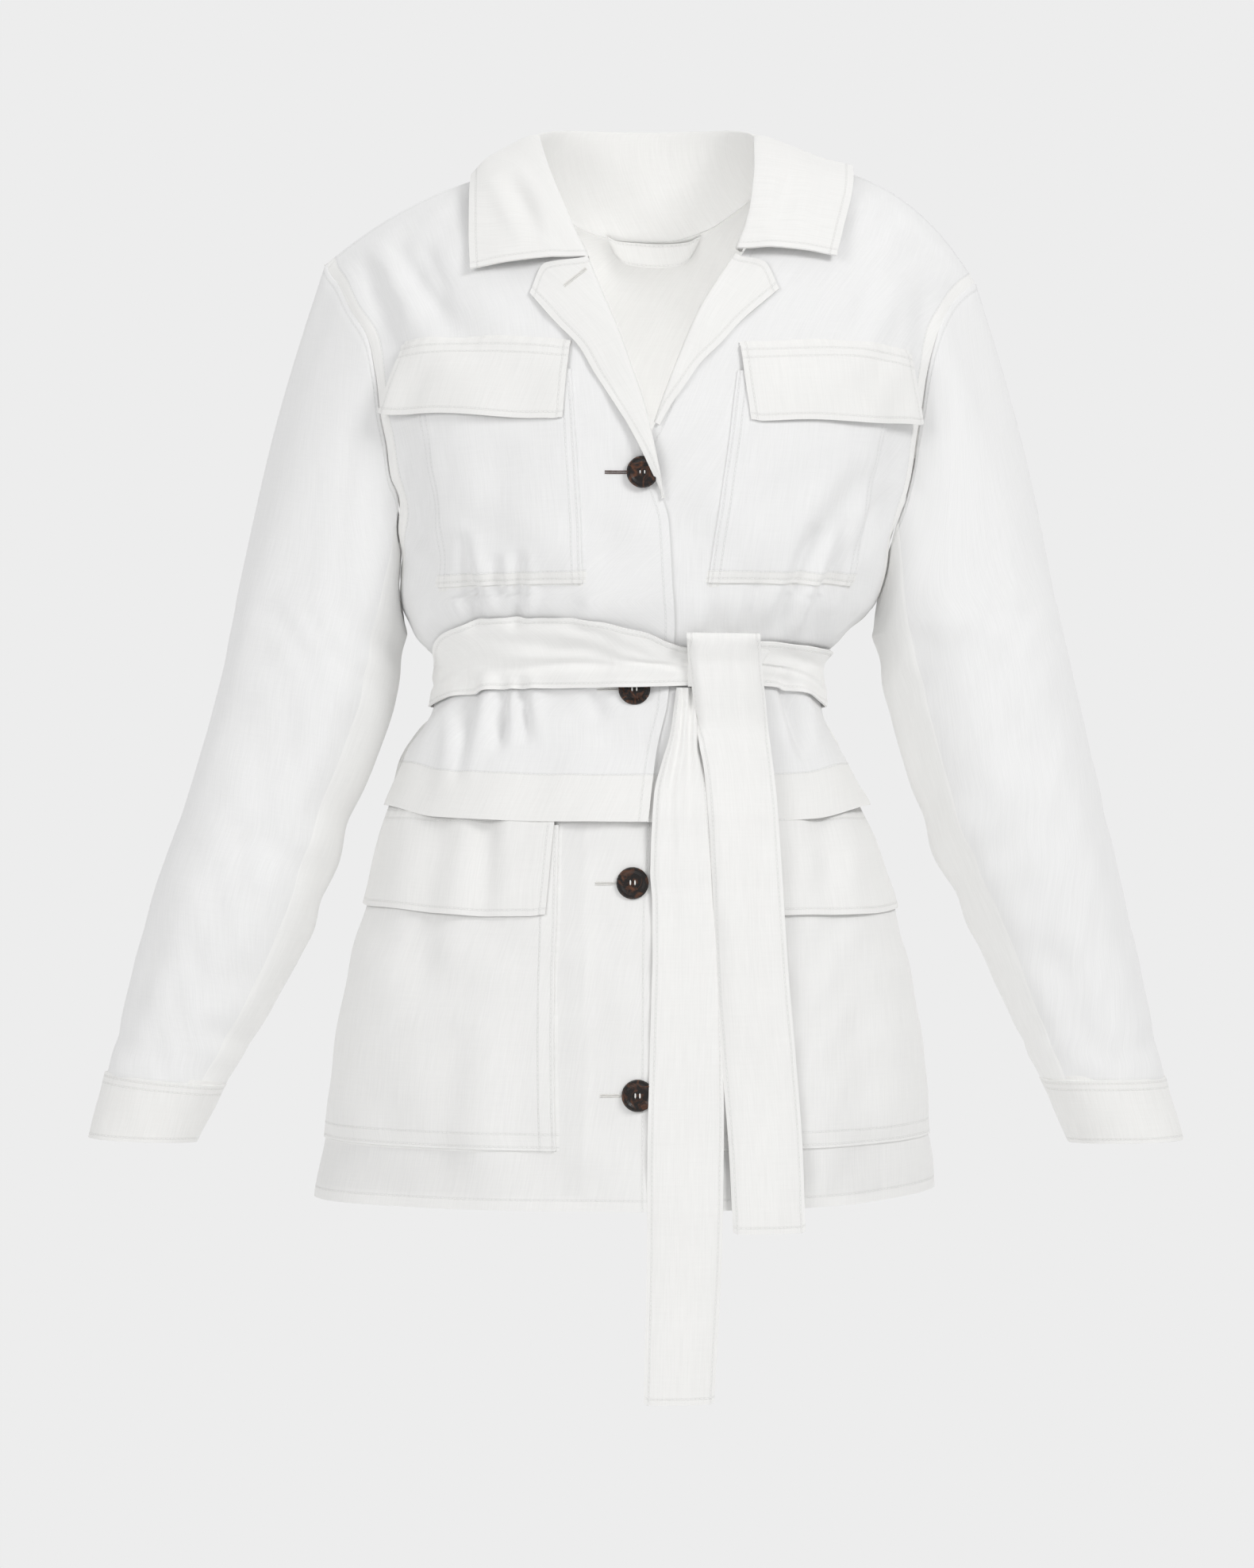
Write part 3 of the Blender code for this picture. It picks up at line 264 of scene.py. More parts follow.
# Belt's ends. Each row has a middle, a half width and the room under it.
TAIL_RIGHT = named_rows(
    "x z half room",
    (79.4, -715, 23.4, 11.4),
    (77.0, -660, 24.0, 11.4),
    (72.3, -602, 24.4, 11.4),
    (67.8, -545, 24.0, 12),
    (66.0, -514, 23.8, 12.6),
    (64.2, -482, 23.7, 12.2),
    (60.8, -429, 23.7, 10.4),
    (56.0, -388, 23.8, 14),
    (54.0, -368, 24.0, 19),
    (52.0, -352, 24.0, 21.5),
    (50.5, -338, 24.3, 21.1),
    (49.8, -327, 24.3, 17.5),
    (49.6, -323.5, 24.0, 12),
    (49.6, -326, 22.0, 7),
)
TAIL_LEFT = named_rows(
    "x z half room",
    (19.4, -825, 22.1, 8),
    (23.1, -717, 23.7, 8),
    (23.7, -660, 24.0, 8),
    (24.2, -602, 23.0, 8),
    (24.3, -545, 21.5, 7.2),
    (22.5, -487, 19.5, 6),
    (21.2, -429, 15.5, 6.2),
    (23.5, -405, 12.0, 8.4),
    (25.0, -385, 9.5, 9.4),
    (27.0, -359.4, 8.0, 7.6),
)

# Sleeves, from the armhole's foot to the cuff: the outer and inner sides seen from the
# front, how far forward the middle lies, and half the thickness from front to back
SLEEVE_LEFT = Table(
    "step x_out z_out x_in z_in y depth",
    (1, -277, -290, -162.5, -321, 0, 58),
    (2, -286.2, -337.5, -171.7, -370, -2, 58),
    (3, -309.4, -424, -202.9, -453.5, -8, 54),
    (4, -333, -493.7, -226.7, -523.2, -14, 50),
    (5, -348.5, -555.2, -257.9, -582, -19, 43),
    (6, -363.7, -616.1, -283.9, -624.7, -24, 37),
    (7, -376, -660, -304.3, -662.7, -27, 33),
)
SLEEVE_RIGHT = Table(
    "step x_out z_out x_in z_in y depth",
    (1, 276.5, -291.6, 152.8, -322.9, 0, 60),
    (2, 288.4, -344.5, 166.9, -378, -2, 60),
    (3, 306.6, -424, 187.7, -451.9, -8, 56),
    (4, 320.5, -488.3, 218.5, -517.9, -14, 50),
    (5, 334.9, -555.2, 244.9, -577.7, -19, 43),
    (6, 348.5, -619.3, 265, -620, -24, 38),
    (7, 360.8, -661.6, 284.8, -662.7, -27, 34),
)
SLEEVE_HEAD = 4.0
SLEEVE_SET = 1.2
SLEEVE_SEAM_FRONT = 130.0
SLEEVE_SEAM_BACK = 225.0
SLEEVE_GAP = 0.15
CUFF_OUT = 0.8

# Collar, from the front end (0) to the centre back (1): the fold and the outer edge
COLLAR_LEFT = Table(
    "step fold_x fold_y fold_z edge_x edge_y edge_z",
    (0.0, -39, -89, -74, -117.5, -79.5, -81),
    (0.2, -54, -70, -38, -119, -62, -55),
    (0.4, -66, -41, -6, -119.5, -32, -20),
    (0.6, -72, 3, 19, -119.5, 8, -7),
    (0.8, -55, 45, 29, -100, 66, -34),
    (1.0, 0, 66, 31, 0, 89, -54),
    (1.2, 55, 45, 29, 100, 66, -34),
)
COLLAR_RIGHT = Table(
    "step fold_x fold_y fold_z edge_x edge_y edge_z",
    (0.0, 59, -87, -68, 125.5, -76.5, -72),
    (0.2, 68, -67, -36, 131, -62, -51),
    (0.4, 71.5, -41, -5, 137, -34, -27),
    (0.6, 72, 2, 18, 139, 10, -10),
    (0.8, 55, 45, 29, 110, 66, -36),
    (1.0, 0, 66, 31, 0, 89, -54),
    (1.2, -55, 45, 29, -110, 66, -36),
)
ROLL = 3.0
ROLL_CREST = 0.12
COLLAR_BULGE = 3.0
COLLAR_ROOM = 2.6
COLLAR_RIDGE = 2.0
RIDGE_MIDDLE = 6.0
RIDGE_REACH = 25.0
NECK_MIDDLE = (0.0, 10.0, -60.0)
COLLAR_LOW_ROW = -150.0
COLLAR_WALL = 1.4
COLLAR_APART = 2.0

# Lapels from the gorge down: the roll, the outer edge, the room over the front and how
# far the rolled edge reaches back. The left one's foot tapers into the front's edge.
LAPEL_LEFT = named_rows(
    "roll edge room leg",
    ((-39, -75.5), (-77.2, -99.7), 2.3, 5.0),
    ((-28.6, -102), (-60, -120.4), 2.3, 5.0),
    ((-18.2, -127.5), (-44.7, -137), 2.3, 5.0),
    ((-9.9, -151.6), (-34.3, -154.8), 2.4, 5.0),
    ((-3.6, -169.5), (-24.9, -169.7), 2.8, 5.0),
    ((2.1, -191.5), (-12, -190.3), 4.2, 4.0),
    ((5.6, -208), (-3.4, -207), 6.2, 2.2),
)
LAPEL_FOOT = named_rows(
    "roll edge room leg",
    ((7.6, -217.5), (1.0, -216.5), 6.0, 3.0),
    ((9.6, -228), (6.2, -227.2), 3.6, 3.0),
    ((10.9, -236.5), (9.9, -236.2), 1.8, 1.5),
)
LAPEL_RIGHT = named_rows(
    "roll edge room leg",
    ((57.8, -71.5), (86.6, -96), 2.3, 5.0),
    ((45, -91.5), (62.1, -117.7), 2.3, 5.0),
    ((33, -112.2), (47.4, -134.4), 2.3, 5.0),
    ((22.4, -136.7), (34.3, -147.7), 2.3, 4.0),
    ((15.0, -156), (24.5, -162), 2.3, 3.4),
    ((8.6, -173), (14.5, -176.5), 2.3, 2.0),
    ((4.0, -186.5), (7.6, -189), 2.3, 2.0),
)
LAPEL_WALL = 1.3
LAPEL_TURN = 3.0
NOTCH_LEFT = (-67.3, -80)
NOTCH_RIGHT = (76.6, -78)

# Pockets and flaps: corners as x and z, top left, top right, low right, low left
CHEST_POCKETS = {
    "left": ((-154, -152), (-50, -152), (-42, -291), (-137, -292)),
    "right": ((59, -152), (166, -152), (133, -290), (39.8, -291)),
}
CHEST_FLAPS = {
    "left": ((-163, -131), (-50.5, -135), (-55, -185), (-171.5, -176)),
    "right": ((60.5, -135.5), (175, -137), (178, -183), (67, -186)),
}
CHEST_BULGE = 4.0
SKIRT_POCKETS = {
    "left": ((-174, -450), (-57.5, -450), (-60, -661), (-217, -660)),
    "right": ((38, -450), (147, -450), (188, -658), (42, -661)),
}
SKIRT_FLAPS = {
    "left": ((-173, -446), (-59, -447), (-66, -509.5), (-188.5, -503)),
    "right": ((42, -447), (146.5, -446), (167, -507), (48, -509.5)),
}
SKIRT_BULGE = 5.0

# Buttons: the middle of each on the left front
BUTTONS = named_rows(
    "x z layer room",
    (-3.5, -219.4, "bodice", 0.5),
    (-8.8, -360.6, "bodice", 1.1),
    (-9.9, -487.6, "skirt", 0.5),
    (-6.8, -625.0, "skirt", 0.5),
)

# Hanger loop on the inside of the back, from end to end
LOOP = Table(
    "step x z",
    (0.0, -31, -46),
    (0.25, -20, -50),
    (0.5, 5, -51.5),
    (0.75, 30, -50),
    (1.0, 41, -46),
)
LOOP_HALF = 5.5
LOOP_BOW = 10.0


def unit(vectors):
    """Scale vectors to a length of 1."""
    length = np.linalg.norm(vectors, axis=-1, keepdims=True)
    return vectors / np.maximum(length, 1e-9)


def mix(first, last, share):
    """Go from first to last by share."""
    return first + (last - first) * share


def smooth_step(start, end, value):
    """Rise softly from 0 at start to 1 at end."""
    t = np.clip((value - start) / (end - start), 0.0, 1.0)
    return t * t * (3 - 2 * t)


def ring(layer, z, turn):
    """Points on a layer's plain rings, turn degrees round from the centre front."""
    side = np.sin(np.radians(turn))
    ahead = np.cos(np.radians(turn))
    centre = layer.at("centre", z)
    half = np.where(side < 0, centre - layer.at("left", z), layer.at("right", z) - centre)
    middle = layer.at("middle", z)
    reach = np.where(ahead > 0, layer.at("front", z), layer.at("back", z))
    drop = np.where(side < 0, layer.at("drop_left", z), layer.at("drop_right", z))
    power = np.where(side < 0, SHOULDER_LEFT, SHOULDER_RIGHT)
    x = centre + half * side
    y = middle + (reach - middle) * np.abs(ahead) ** FLAT
    return np.stack([x, y, z - drop * np.abs(side) ** power], axis=-1)


# Rows above which a ring's outward direction stays the same, and tips upward
LEVEL_ROW = -8.0
TIP_ROW = -30.0
TIP_ASIDE = 0.6


def ring_normal(layer, z, turn):
    """Outward directions, which front and back share along the shoulder seam."""
    low = np.minimum(z, LEVEL_ROW)
    across = ring(layer, low, turn + 0.5) - ring(layer, low, turn - 0.5)
    up = ring(layer, low + 0.5, turn) - ring(layer, low - 0.5, turn)
    normal = unit(np.cross(across, up))
    seam_part = smooth_step(TIP_ROW, SHOULDER_ROW, z)[..., None]
    upward = unit(normal * (TIP_ASIDE, 0.0, 0.0) + (0.0, 0.0, 1.0))
    return unit(mix(normal, upward, seam_part))


def wrapped(turn):
    """A turn from -180 to 180."""
    return (turn + 180.0) % 360.0 - 180.0


def gather_relief(z, turn):
    """Height of the ridges above and below the belt."""
    above = z - BELT.at("top", wrapped(turn))
    below = BELT.at("low", wrapped(turn)) - z
    height = np.zeros(np.shape(z))
    for fold in GATHERS:
        aside = wrapped(turn - fold["turn"])
        ridge = np.exp(-(aside / fold["width"]) ** 2) * fold["height"]
        fade = np.where(above > 0, above / fold["up"], np.maximum(below, 0) / fold["down"])
        free = smooth_step(-4.0, 14.0, np.maximum(above, below))
        height += ridge * np.exp(-fade ** 2) * mix(0.15, 1.0, free)
    return height


def beside(points, start, end):
    """Share of the way from start to end, in x and z, and the distance from that line."""
    start, end = np.array(start, float), np.array(end, float)
    run, place = end - start, points[..., [0, 2]] - start
    share = (place @ run) / (run @ run)
    held = np.clip(share, 0.0, 1.0)
    return share, np.linalg.norm(place - held[..., None] * run, axis=-1)


def crease_relief(points):
    """Depth of the drape creases on the fronts, as a negative height."""
    height = np.zeros(points.shape[:-1])
    for crease in CREASES:
        away = beside(points, crease["start"], crease["end"])[1]
        height -= crease["depth"] * np.exp(-(away / crease["width"]) ** 2)
    return np.where(points[..., 1] < 0, height, 0.0)


# Sharper creases: soft troughs from one place to another, given as x and z, on the
# bodice's fronts, its back and the under layer's fronts
FRONT_FOLDS = (
    # start, end, depth, half width, lift beside it
    ((-121, -262), (-111, -322), 3.6, 4.5, 1.3),
    ((-98, -276), (-92, -314), 2.2, 4.5, 0.8),
    ((-83, -274), (-86, -320), 3.4, 4.0, 1.3),
    ((-134, -258), (-124, -300), 2.0, 6.0, 0.6),
    ((-45, -300), (-52, -318), 1.4, 6.0, 0.4),
    ((110, -258), (86, -322), 3.4, 5.0, 1.3),
    ((131, -252), (106, -322), 3.6, 5.5, 1.5),
    ((72, -292), (66, -326), 1.8, 5.0, 0.7),
    ((42, -296), (46, -328), 1.4, 5.0, 0.5),
    ((143, -218), (88, -292), 3.0, 8.0, 1.2),
    ((-114, -354), (-126, -420), 3.8, 5.0, 1.3),
    ((-93, -354), (-99, -402), 3.4, 4.2, 1.2),
    ((-83, -354), (-80, -396), 3.4, 4.2, 1.2),
    ((-36, -362), (-30, -384), 1.4, 5.0, 0.5),
    ((90, -354), (104, -404), 3.8, 4.5, 1.3),
    ((4, -366), (10, -420), 1.8, 6.0, 0.5),
    ((-192, -70), (-166, -140), 2.2, 7.0, 0.9),
    ((-168, -62), (-128, -126), 2.2, 7.0, 0.9),
    ((-150, -62), (-132, -98), 1.1, 5.0, 0.4),
    ((187, -96), (184, -138), 1.6, 6.0, 0.7),
    ((150, -80), (138, -126), 1.3, 7.0, 0.5),
    ((-160, -190), (-146, -262), 2.6, 7.0, 0.8),
    ((-168, -226), (-138, -282), 2.2, 5.0, 0.8),
    ((163, -186), (150, -250), 2.4, 7.0, 0.8),
    ((161, -230), (130, -278), 2.4, 5.0, 0.9),
    ((-100, -196), (-96, -270), 1.0, 10.0, 0.3),
    ((-24, -240), (-30, -300), 0.9, 9.0, 0.3),
    ((26, -232), (34, -300), 0.9, 10.0, 0.3),
)
BACK_FOLDS = (
    ((-128, -244), (-96, -318), 2.6, 6.0, 1.0),
    ((-100, -262), (-76, -318), 2.2, 5.0, 0.9),
    ((-64, -270), (-52, -318), 2.4, 6.0, 0.9),
    ((-30, -262), (-22, -320), 1.8, 7.0, 0.6),
    ((18, -272), (12, -320), 2.2, 6.0, 0.8),
    ((50, -262), (40, -320), 2.5, 6.0, 0.9),
    ((84, -268), (66, -320), 2.2, 5.0, 0.9),
    ((118, -246), (88, -318), 2.6, 6.0, 1.0),
    ((-140, -120), (-92, -176), 1.8, 12.0, 0.5),
    ((146, -122), (96, -182), 1.9, 12.0, 0.5),
    ((-104, -374), (-116, -424), 2.2, 6.0, 0.8),
    ((-66, -374), (-72, -414), 2.2, 6.0, 0.7),
    ((-26, -374), (-28, -420), 1.8, 6.0, 0.7),
    ((22, -374), (26, -410), 2.1, 6.0, 0.7),
    ((62, -374), (72, -424), 2.2, 6.0, 0.8),
    ((94, -374), (108, -416), 2.2, 6.0, 0.7),
)
SKIRT_FOLDS = (
    ((-103, -436), (-107, -512), 2.0, 7.0, 0.8),
    ((-135, -436), (-150, -570), 1.6, 9.0, 0.8),
    ((-84, -560), (-80, -690), 1.5, 14.0, 0.6),
    ((-124, -590), (-134, -690), 1.3, 12.0, 0.6),
    ((-30, -470), (-37, -640), 1.2, 12.0, 0.4),
    ((112, -440), (121, -524), 1.9, 8.0, 0.8),
    ((135, -560), (147, -690), 1.5, 12.0, 0.5),
    ((92, -600), (98, -690), 1.4, 10.0, 0.5),
)
FOLD_DEPTH = 1.7
RUMPLE = 0.9
FLUTE = 1.9
BACK_SHIFT = 40.0
BELT_MIDDLE = -341.0


def folds_relief(points, folds):
    """Height of a list of creases at points, each a trough with soft shoulders."""
    height = np.zeros(points.shape[:-1])
    for start, end, depth, width, lift in folds:
        share, away = beside(points, start, end)
        body = np.sin(np.pi * np.clip(share * 0.8 + 0.15, 0.0, 1.0))
        height -= FOLD_DEPTH * depth * body * np.exp(-(away / width) ** 2)
        height += FOLD_DEPTH * lift * body * np.exp(-((away - 2.1 * width) / width) ** 2)
    return height


def rumple(x, y, seed):
    """Uneven, gentle waves of worn linen."""
    wave = np.sin(x * 0.047 + 1.3 * np.sin(y * 0.021 + seed) + seed)
    wave = wave + 0.8 * np.sin(y * 0.039 + 1.7 * np.sin(x * 0.027 - seed) + 2.1 * seed)
    wave = wave + 0.8 * np.sin((x + 0.6 * y) * 0.091 + 1.1 * np.sin(y * 0.052 + seed))
    return wave + 0.5 * np.sin((x * 0.8 - y) * 0.143 + 1.9 * np.sin(x * 0.061 + seed))


def fine_relief(layer, points, z, turn):
    """Finer folds than the solids have, on either layer."""
    front = points[..., 1] < 0
    seed = 0.7 if layer is BODICE else 2.9
    x = points[..., 0] * np.where(front, 1.0, -1.0) + BACK_SHIFT
    height = RUMPLE * rumple(x, points[..., 2], seed)
    if layer is BODICE:
        waist = smooth_step(3.0, 26.0, np.abs(z - BELT_MIDDLE))
        top = smooth_step(SHOULDER_ROW, -24.0, z)
        height = height * mix(0.15, 1.0, waist) * top
        ahead, behind = (folds_relief(points, folds) for folds in (FRONT_FOLDS, BACK_FOLDS))
        folds = np.where(front, ahead, behind)
        return height + folds * smooth_step(0.0, 12.0, np.abs(points[..., 1]))
    wave = np.sin(np.radians(turn * 9.0 + 30.0) + 1.6 * np.sin(np.radians(turn * 2.0)))
    flute = FLUTE * smooth_step(-470.0, -700.0, z) * wave
    quiet = smooth_step(CAUGHT_ROW, -400.0, z)
    height = height * 0.8 + front * folds_relief(points, SKIRT_FOLDS)
    return (height + flute) * quiet


def overlap_relief(points):
    """How far the left front is raised to lie over the right one."""
    return OVERLAP * smooth_step(-88.0, -46.0, points[..., 0])


def face(layer, z, turn, out=0.0, raised=False):
    """Points and outward directions on a layer's outer face, moved out from it."""
    z, turn = np.broadcast_arrays(np.asarray(z, float), np.asarray(turn, float))
    points = ring(layer, z, turn)
    normals = ring_normal(layer, z, turn)
    height = out + np.zeros(np.shape(z))
    if layer is BODICE:
        height = height + gather_relief(z, turn) + crease_relief(points)
    height = height + fine_relief(layer, points, z, turn)
    if raised:
        height = height + overlap_relief(points)
    return points + normals * height[..., None], normals


def turn_at(layer, z, x):
    """Turn at which a front ring stands at x."""
    centre = layer.at("centre", z)
    half = np.where(x < centre, centre - layer.at("left", z), layer.at("right", z) - centre)
    return np.degrees(np.arcsin(np.clip((x - centre) / half, -1.0, 1.0)))


def row_at(layer, x, z):
    """Row and turn of the front ring that passes through x and z."""
    row = np.asarray(z, float)
    for _ in range(8):
        turn = turn_at(layer, row, x)
        drop = np.where(turn < 0, layer.at("drop_left", row), layer.at("drop_right", row))
        power = np.where(turn < 0, SHOULDER_LEFT, SHOULDER_RIGHT)
        row = z + drop * np.abs(np.sin(np.radians(turn))) ** power
    return row, turn


def armhole_turn(row, side, back=False):
    """Turn of the armhole seam on a ring, which ends at the side seam below the arm."""
    seam = np.abs(turn_at(BODICE, row, ARMHOLE.at(side, row)))
    reach = np.sin(np.radians(seam))
    if back:
        reach = reach + (1 - reach) * 0.35
    closed = (row <= UNDERARM_ROW) | (row >= SHOULDER_ROW)
    turn = np.where(closed, 90.0, np.degrees(np.arcsin(np.clip(reach, 0.0, 1.0))))
    if back:
        turn = 180.0 - turn
    return turn if side == "right" else -turn


def catch_top(points, row, turn, raised=False):
    """Lay the under layer's top rows against the upper layer's inside."""
    caught = row[:, 0] >= CAUGHT_ROW
    points[caught] = face(BODICE, row[caught], turn[caught], -(WALL + CAUGHT), raised)[0]


class Panel:
    """A grid of cloth on a layer, whose points serve the pieces that lie on it."""

    def __init__(self, layer, rows, first, last, columns, raised=False):
        self.layer = layer
        self.rows = np.array(rows, float)
        self.first = first(self.rows)
        self.last = last(self.rows)
        share = np.linspace(0.0, 1.0, columns + 1)
        turn = mix(self.first[:, None], self.last[:, None], share)
        row = np.repeat(self.rows[:, None], columns + 1, axis=1)
        self.points, self.normals = face(layer, row, turn, raised=raised)
        if layer is SKIRT:
            catch_top(self.points, row, turn, raised)

    def at(self, row, turn, out=0.0):
        """Points on the panel's own facets, moved out, and their outward directions."""
        down = np.interp(row, self.rows, np.arange(len(self.rows)))
        first = np.interp(row, self.rows, self.first)
        last = np.interp(row, self.rows, self.last)
        along = (turn - first) / (last - first) * (self.points.shape[1] - 1)
        along = np.clip(along, 0, self.points.shape[1] - 1)
        i = np.clip(down.astype(int), 0, self.points.shape[0] - 2)
        j = np.clip(along.astype(int), 0, self.points.shape[1] - 2)
        s, t = (down - i)[..., None], (along - j)[..., None]
        found = []
        for grid in (self.points, self.normals):
            low = mix(grid[i, j], grid[i, j + 1], t)
            high = mix(grid[i + 1, j], grid[i + 1, j + 1], t)
            found.append(mix(low, high, s))
        normals = unit(found[1])
        return found[0] + normals * np.asarray(out)[..., None], normals

    def place(self, x, z, out=0.0):
        """The same, for a place given by x and z."""
        row, turn = row_at(self.layer, np.asarray(x, float), np.asarray(z, float))
        return self.at(row, turn, out + np.zeros(np.shape(row)))


def grid_normals(points):
    """Directions across a grid of points, from its neighbours along and up."""
    return unit(np.cross(np.gradient(points, axis=1), np.gradient(points, axis=0)))


# Rows at which the layers are cut into strips, the row of the gorge, and a side seam's
# half width as a turn
BODICE_ROWS = (-443, -420, -402, -388, -374, -358, -340, -322, -306, -284, -256,
               -226, -196, -166, -136, -106, -74, -54, -36, -16, 3)
GORGE_ROW = -74
SKIRT_ROWS = (-700, -660, -610, -560, -510, -470, -443, -412, -385, -358, -340)
SEAM_TURN = 0.04


def edge_turn(layer, edges, side):
    """The turn of a front's inner edge, as a function of the row."""
    return lambda rows: turn_at(layer, rows, edges.at(side, rows))


def outer_turn(side):
    """The turn of a bodice front's outer edge: side seam, then armhole."""
    return lambda rows: armhole_turn(rows, side) * (1 - SEAM_TURN / 90.0)


def side_seam(turn):
    """The turn of the under layer's side seam, the same on each row."""
    return lambda rows: np.full(len(rows), turn)


def neck_row(turn):
    """Top row of the back: the shoulder seam, cut down between the neck points."""
    aside = np.abs(np.sin(np.radians(turn))) / np.sin(np.radians(NECK_TURN))
    low = mix(NECK_BACK, SHOULDER_ROW, np.clip(aside, 0.0, 1.0) ** NECK_ROUND)
    return np.where(aside >= 1.0 - 1e-9, SHOULDER_ROW, low)


def back_turns(rows, to_armhole):
    """Turns of the back's columns on each row, with a column at each neck point."""
    right = armhole_turn(rows, "right", back=True) if to_armhole else np.full(len(rows), 90.0)
    left = armhole_turn(rows, "left", back=True) if to_armhole else np.full(len(rows), -90.0)
    right = right + SEAM_TURN
    left = left + 360.0 - SEAM_TURN
    share = np.linspace(0.0, 1.0, BACK_COLUMNS + 1)
    middle = np.linspace(180 - NECK_TURN, 180 + NECK_TURN, NECK_COLUMNS + 1)[1:-1]
    first = mix(right[:, None], 180 - NECK_TURN, share)
    last = mix(180 + NECK_TURN, left[:, None], share)
    return np.concatenate([first, np.tile(middle, (len(rows), 1)), last], axis=1)


def armhole_line(side):
    """Armhole seam from the shoulder point down the front, and down the back."""
    rows = np.linspace(SHOULDER_ROW, UNDERARM_ROW, 80)
    turns = (armhole_turn(rows, side, back=back) for back in (False, True))
    return [face(BODICE, rows, turn)[0] for turn in turns]


def along_line(line, share):
    """Points at equal shares of a line's length."""
    run = np.concatenate([[0.0], np.cumsum(np.linalg.norm(np.diff(line, axis=0), axis=1))])
    want = share * run[-1]
    return np.stack([np.interp(want, run, line[:, i]) for i in range(3)], axis=-1)


class Sleeve:
    """A sleeve as a function of the turn round the arm and the step down it."""

    def __init__(self, side, sections):
        self.out = -1.0 if side == "left" else 1.0
        self.sections = sections
        self.front, self.back = armhole_line(side)

    def section(self, step, turn):
        """Ellipse across the arm: turn 0 is the outer side, 90 the front, 180 the inner."""
        read = {name: self.sections.at(name, step) for name in self.sections.columns}
        outer = np.stack([read["x_out"], read["y"], read["z_out"]], axis=-1)
        inner = np.stack([read["x_in"], read["y"], read["z_in"]], axis=-1)
        angle = np.radians(turn)[..., None]
        ahead = np.stack([0 * read["y"], -read["depth"], 0 * read["y"]], axis=-1)
        return (outer + inner) / 2 + (outer - inner) / 2 * np.cos(angle) + ahead * np.sin(angle)

    def head(self, turn):
        """The armhole seam, set off from the body by the seam's gap."""
        around = turn % 360.0
        front = along_line(self.front, np.clip(around, 0, 180) / 180.0)
        back = along_line(self.back, np.clip(360.0 - around, 0, 180) / 180.0)
        seam = np.where((around <= 180.0)[..., None], front, back)
        return seam + np.array([self.out * SLEEVE_SET, 0.0, -SEAM])

    def points(self, step, turn):
        step, turn = np.broadcast_arrays(np.asarray(step, float), np.asarray(turn, float))
        share = np.clip(step, 0.0, 1.0)[..., None]
        below = self.section(np.maximum(step, 1.0), turn)
        crown = SLEEVE_HEAD * np.sin(np.pi * share[..., 0]) * np.cos(np.radians(turn))
        crown = np.maximum(crown, 0.0) * self.out
        points = mix(self.head(turn), below, share)
        points[..., 0] += crown
        return points

    def normals(self, step, turn):
        step, turn = np.broadcast_arrays(np.asarray(step, float), np.asarray(turn, float))
        around = self.points(step, turn + 1.0) - self.points(step, turn - 1.0)
        low = np.maximum(step - 0.04, 0.0)
        down = self.points(step + 0.04, turn) - self.points(low, turn)
        return unit(np.cross(around, down)) * self.out


def rolled(edge, fold, seam):
    """Points across the collar, from its outer edge over the fold to its seam."""
    down_fall, down_stand = unit(edge - fold), unit(seam - fold)
    aside = unit(down_fall - down_stand)
    tight = 1 - np.linalg.norm(down_fall - down_stand, axis=-1, keepdims=True) / 2
    start = fold + (down_fall + aside * tight) * ROLL
    end = fold + (down_stand - aside * tight) * ROLL
    crest = fold + (start + end - fold * 2) * ROLL_CREST
    outward = unit(np.cross(np.gradient(fold, axis=0), edge - fold))
    away = np.sum(outward * (mix(edge, fold, 0.5) - NECK_MIDDLE), axis=-1)
    outward = outward * np.sign(away)[:, None] * COLLAR_BULGE
    stand = np.linalg.norm(seam - end, axis=-1) / np.linalg.norm(edge - start, axis=-1)
    over_seam = mix(start, edge, np.clip(stand, 0.25, 0.6)[:, None])
    points = np.stack([edge, mix(edge, over_seam, 0.5) + outward, over_seam + outward, start])
    ridge = COLLAR_RIDGE * np.exp(-((points[..., 1] - RIDGE_MIDDLE) / RIDGE_REACH) ** 2)
    points = off_body(points, COLLAR_ROOM + ridge)
    run = seam - end
    for _ in range(2):
        share = np.sum((points - end) * run, axis=-1) / np.sum(run * run, axis=-1)
        nearest = end + np.clip(share, 0.0, 1.0)[..., None] * run
        lack = COLLAR_WALL * 2 + COLLAR_APART - np.linalg.norm(points - nearest, axis=-1)
        points[:3] += (aside * np.maximum(lack, 0.0)[..., None])[:3]
    return np.stack([*points, crest, end, mix(end, seam, 0.5), seam])


def off_body(points, room):
    """Push points out of the bodice until they have room over its outer face."""
    rows = np.linspace(COLLAR_LOW_ROW, SHOULDER_ROW, 120)
    row, turn = np.meshgrid(rows, np.arange(0.0, 360.0, 1.5))
    raised = np.cos(np.radians(turn)) > 0
    ground, normals = face(BODICE, row, turn)
    ground = ground + normals * (raised * overlap_relief(ground))[..., None]
    ground, normals = ground.reshape(-1, 3), normals.reshape(-1, 3)
    for _ in range(3):
        apart = points[..., None, :] - ground
        nearest = np.argmin(np.sum(apart ** 2, axis=-1), axis=-1)
        normal = normals[nearest]
        height = np.sum((points - ground[nearest]) * normal, axis=-1)
        points = points + normal * np.maximum(room - height, 0.0)[..., None]
    return points


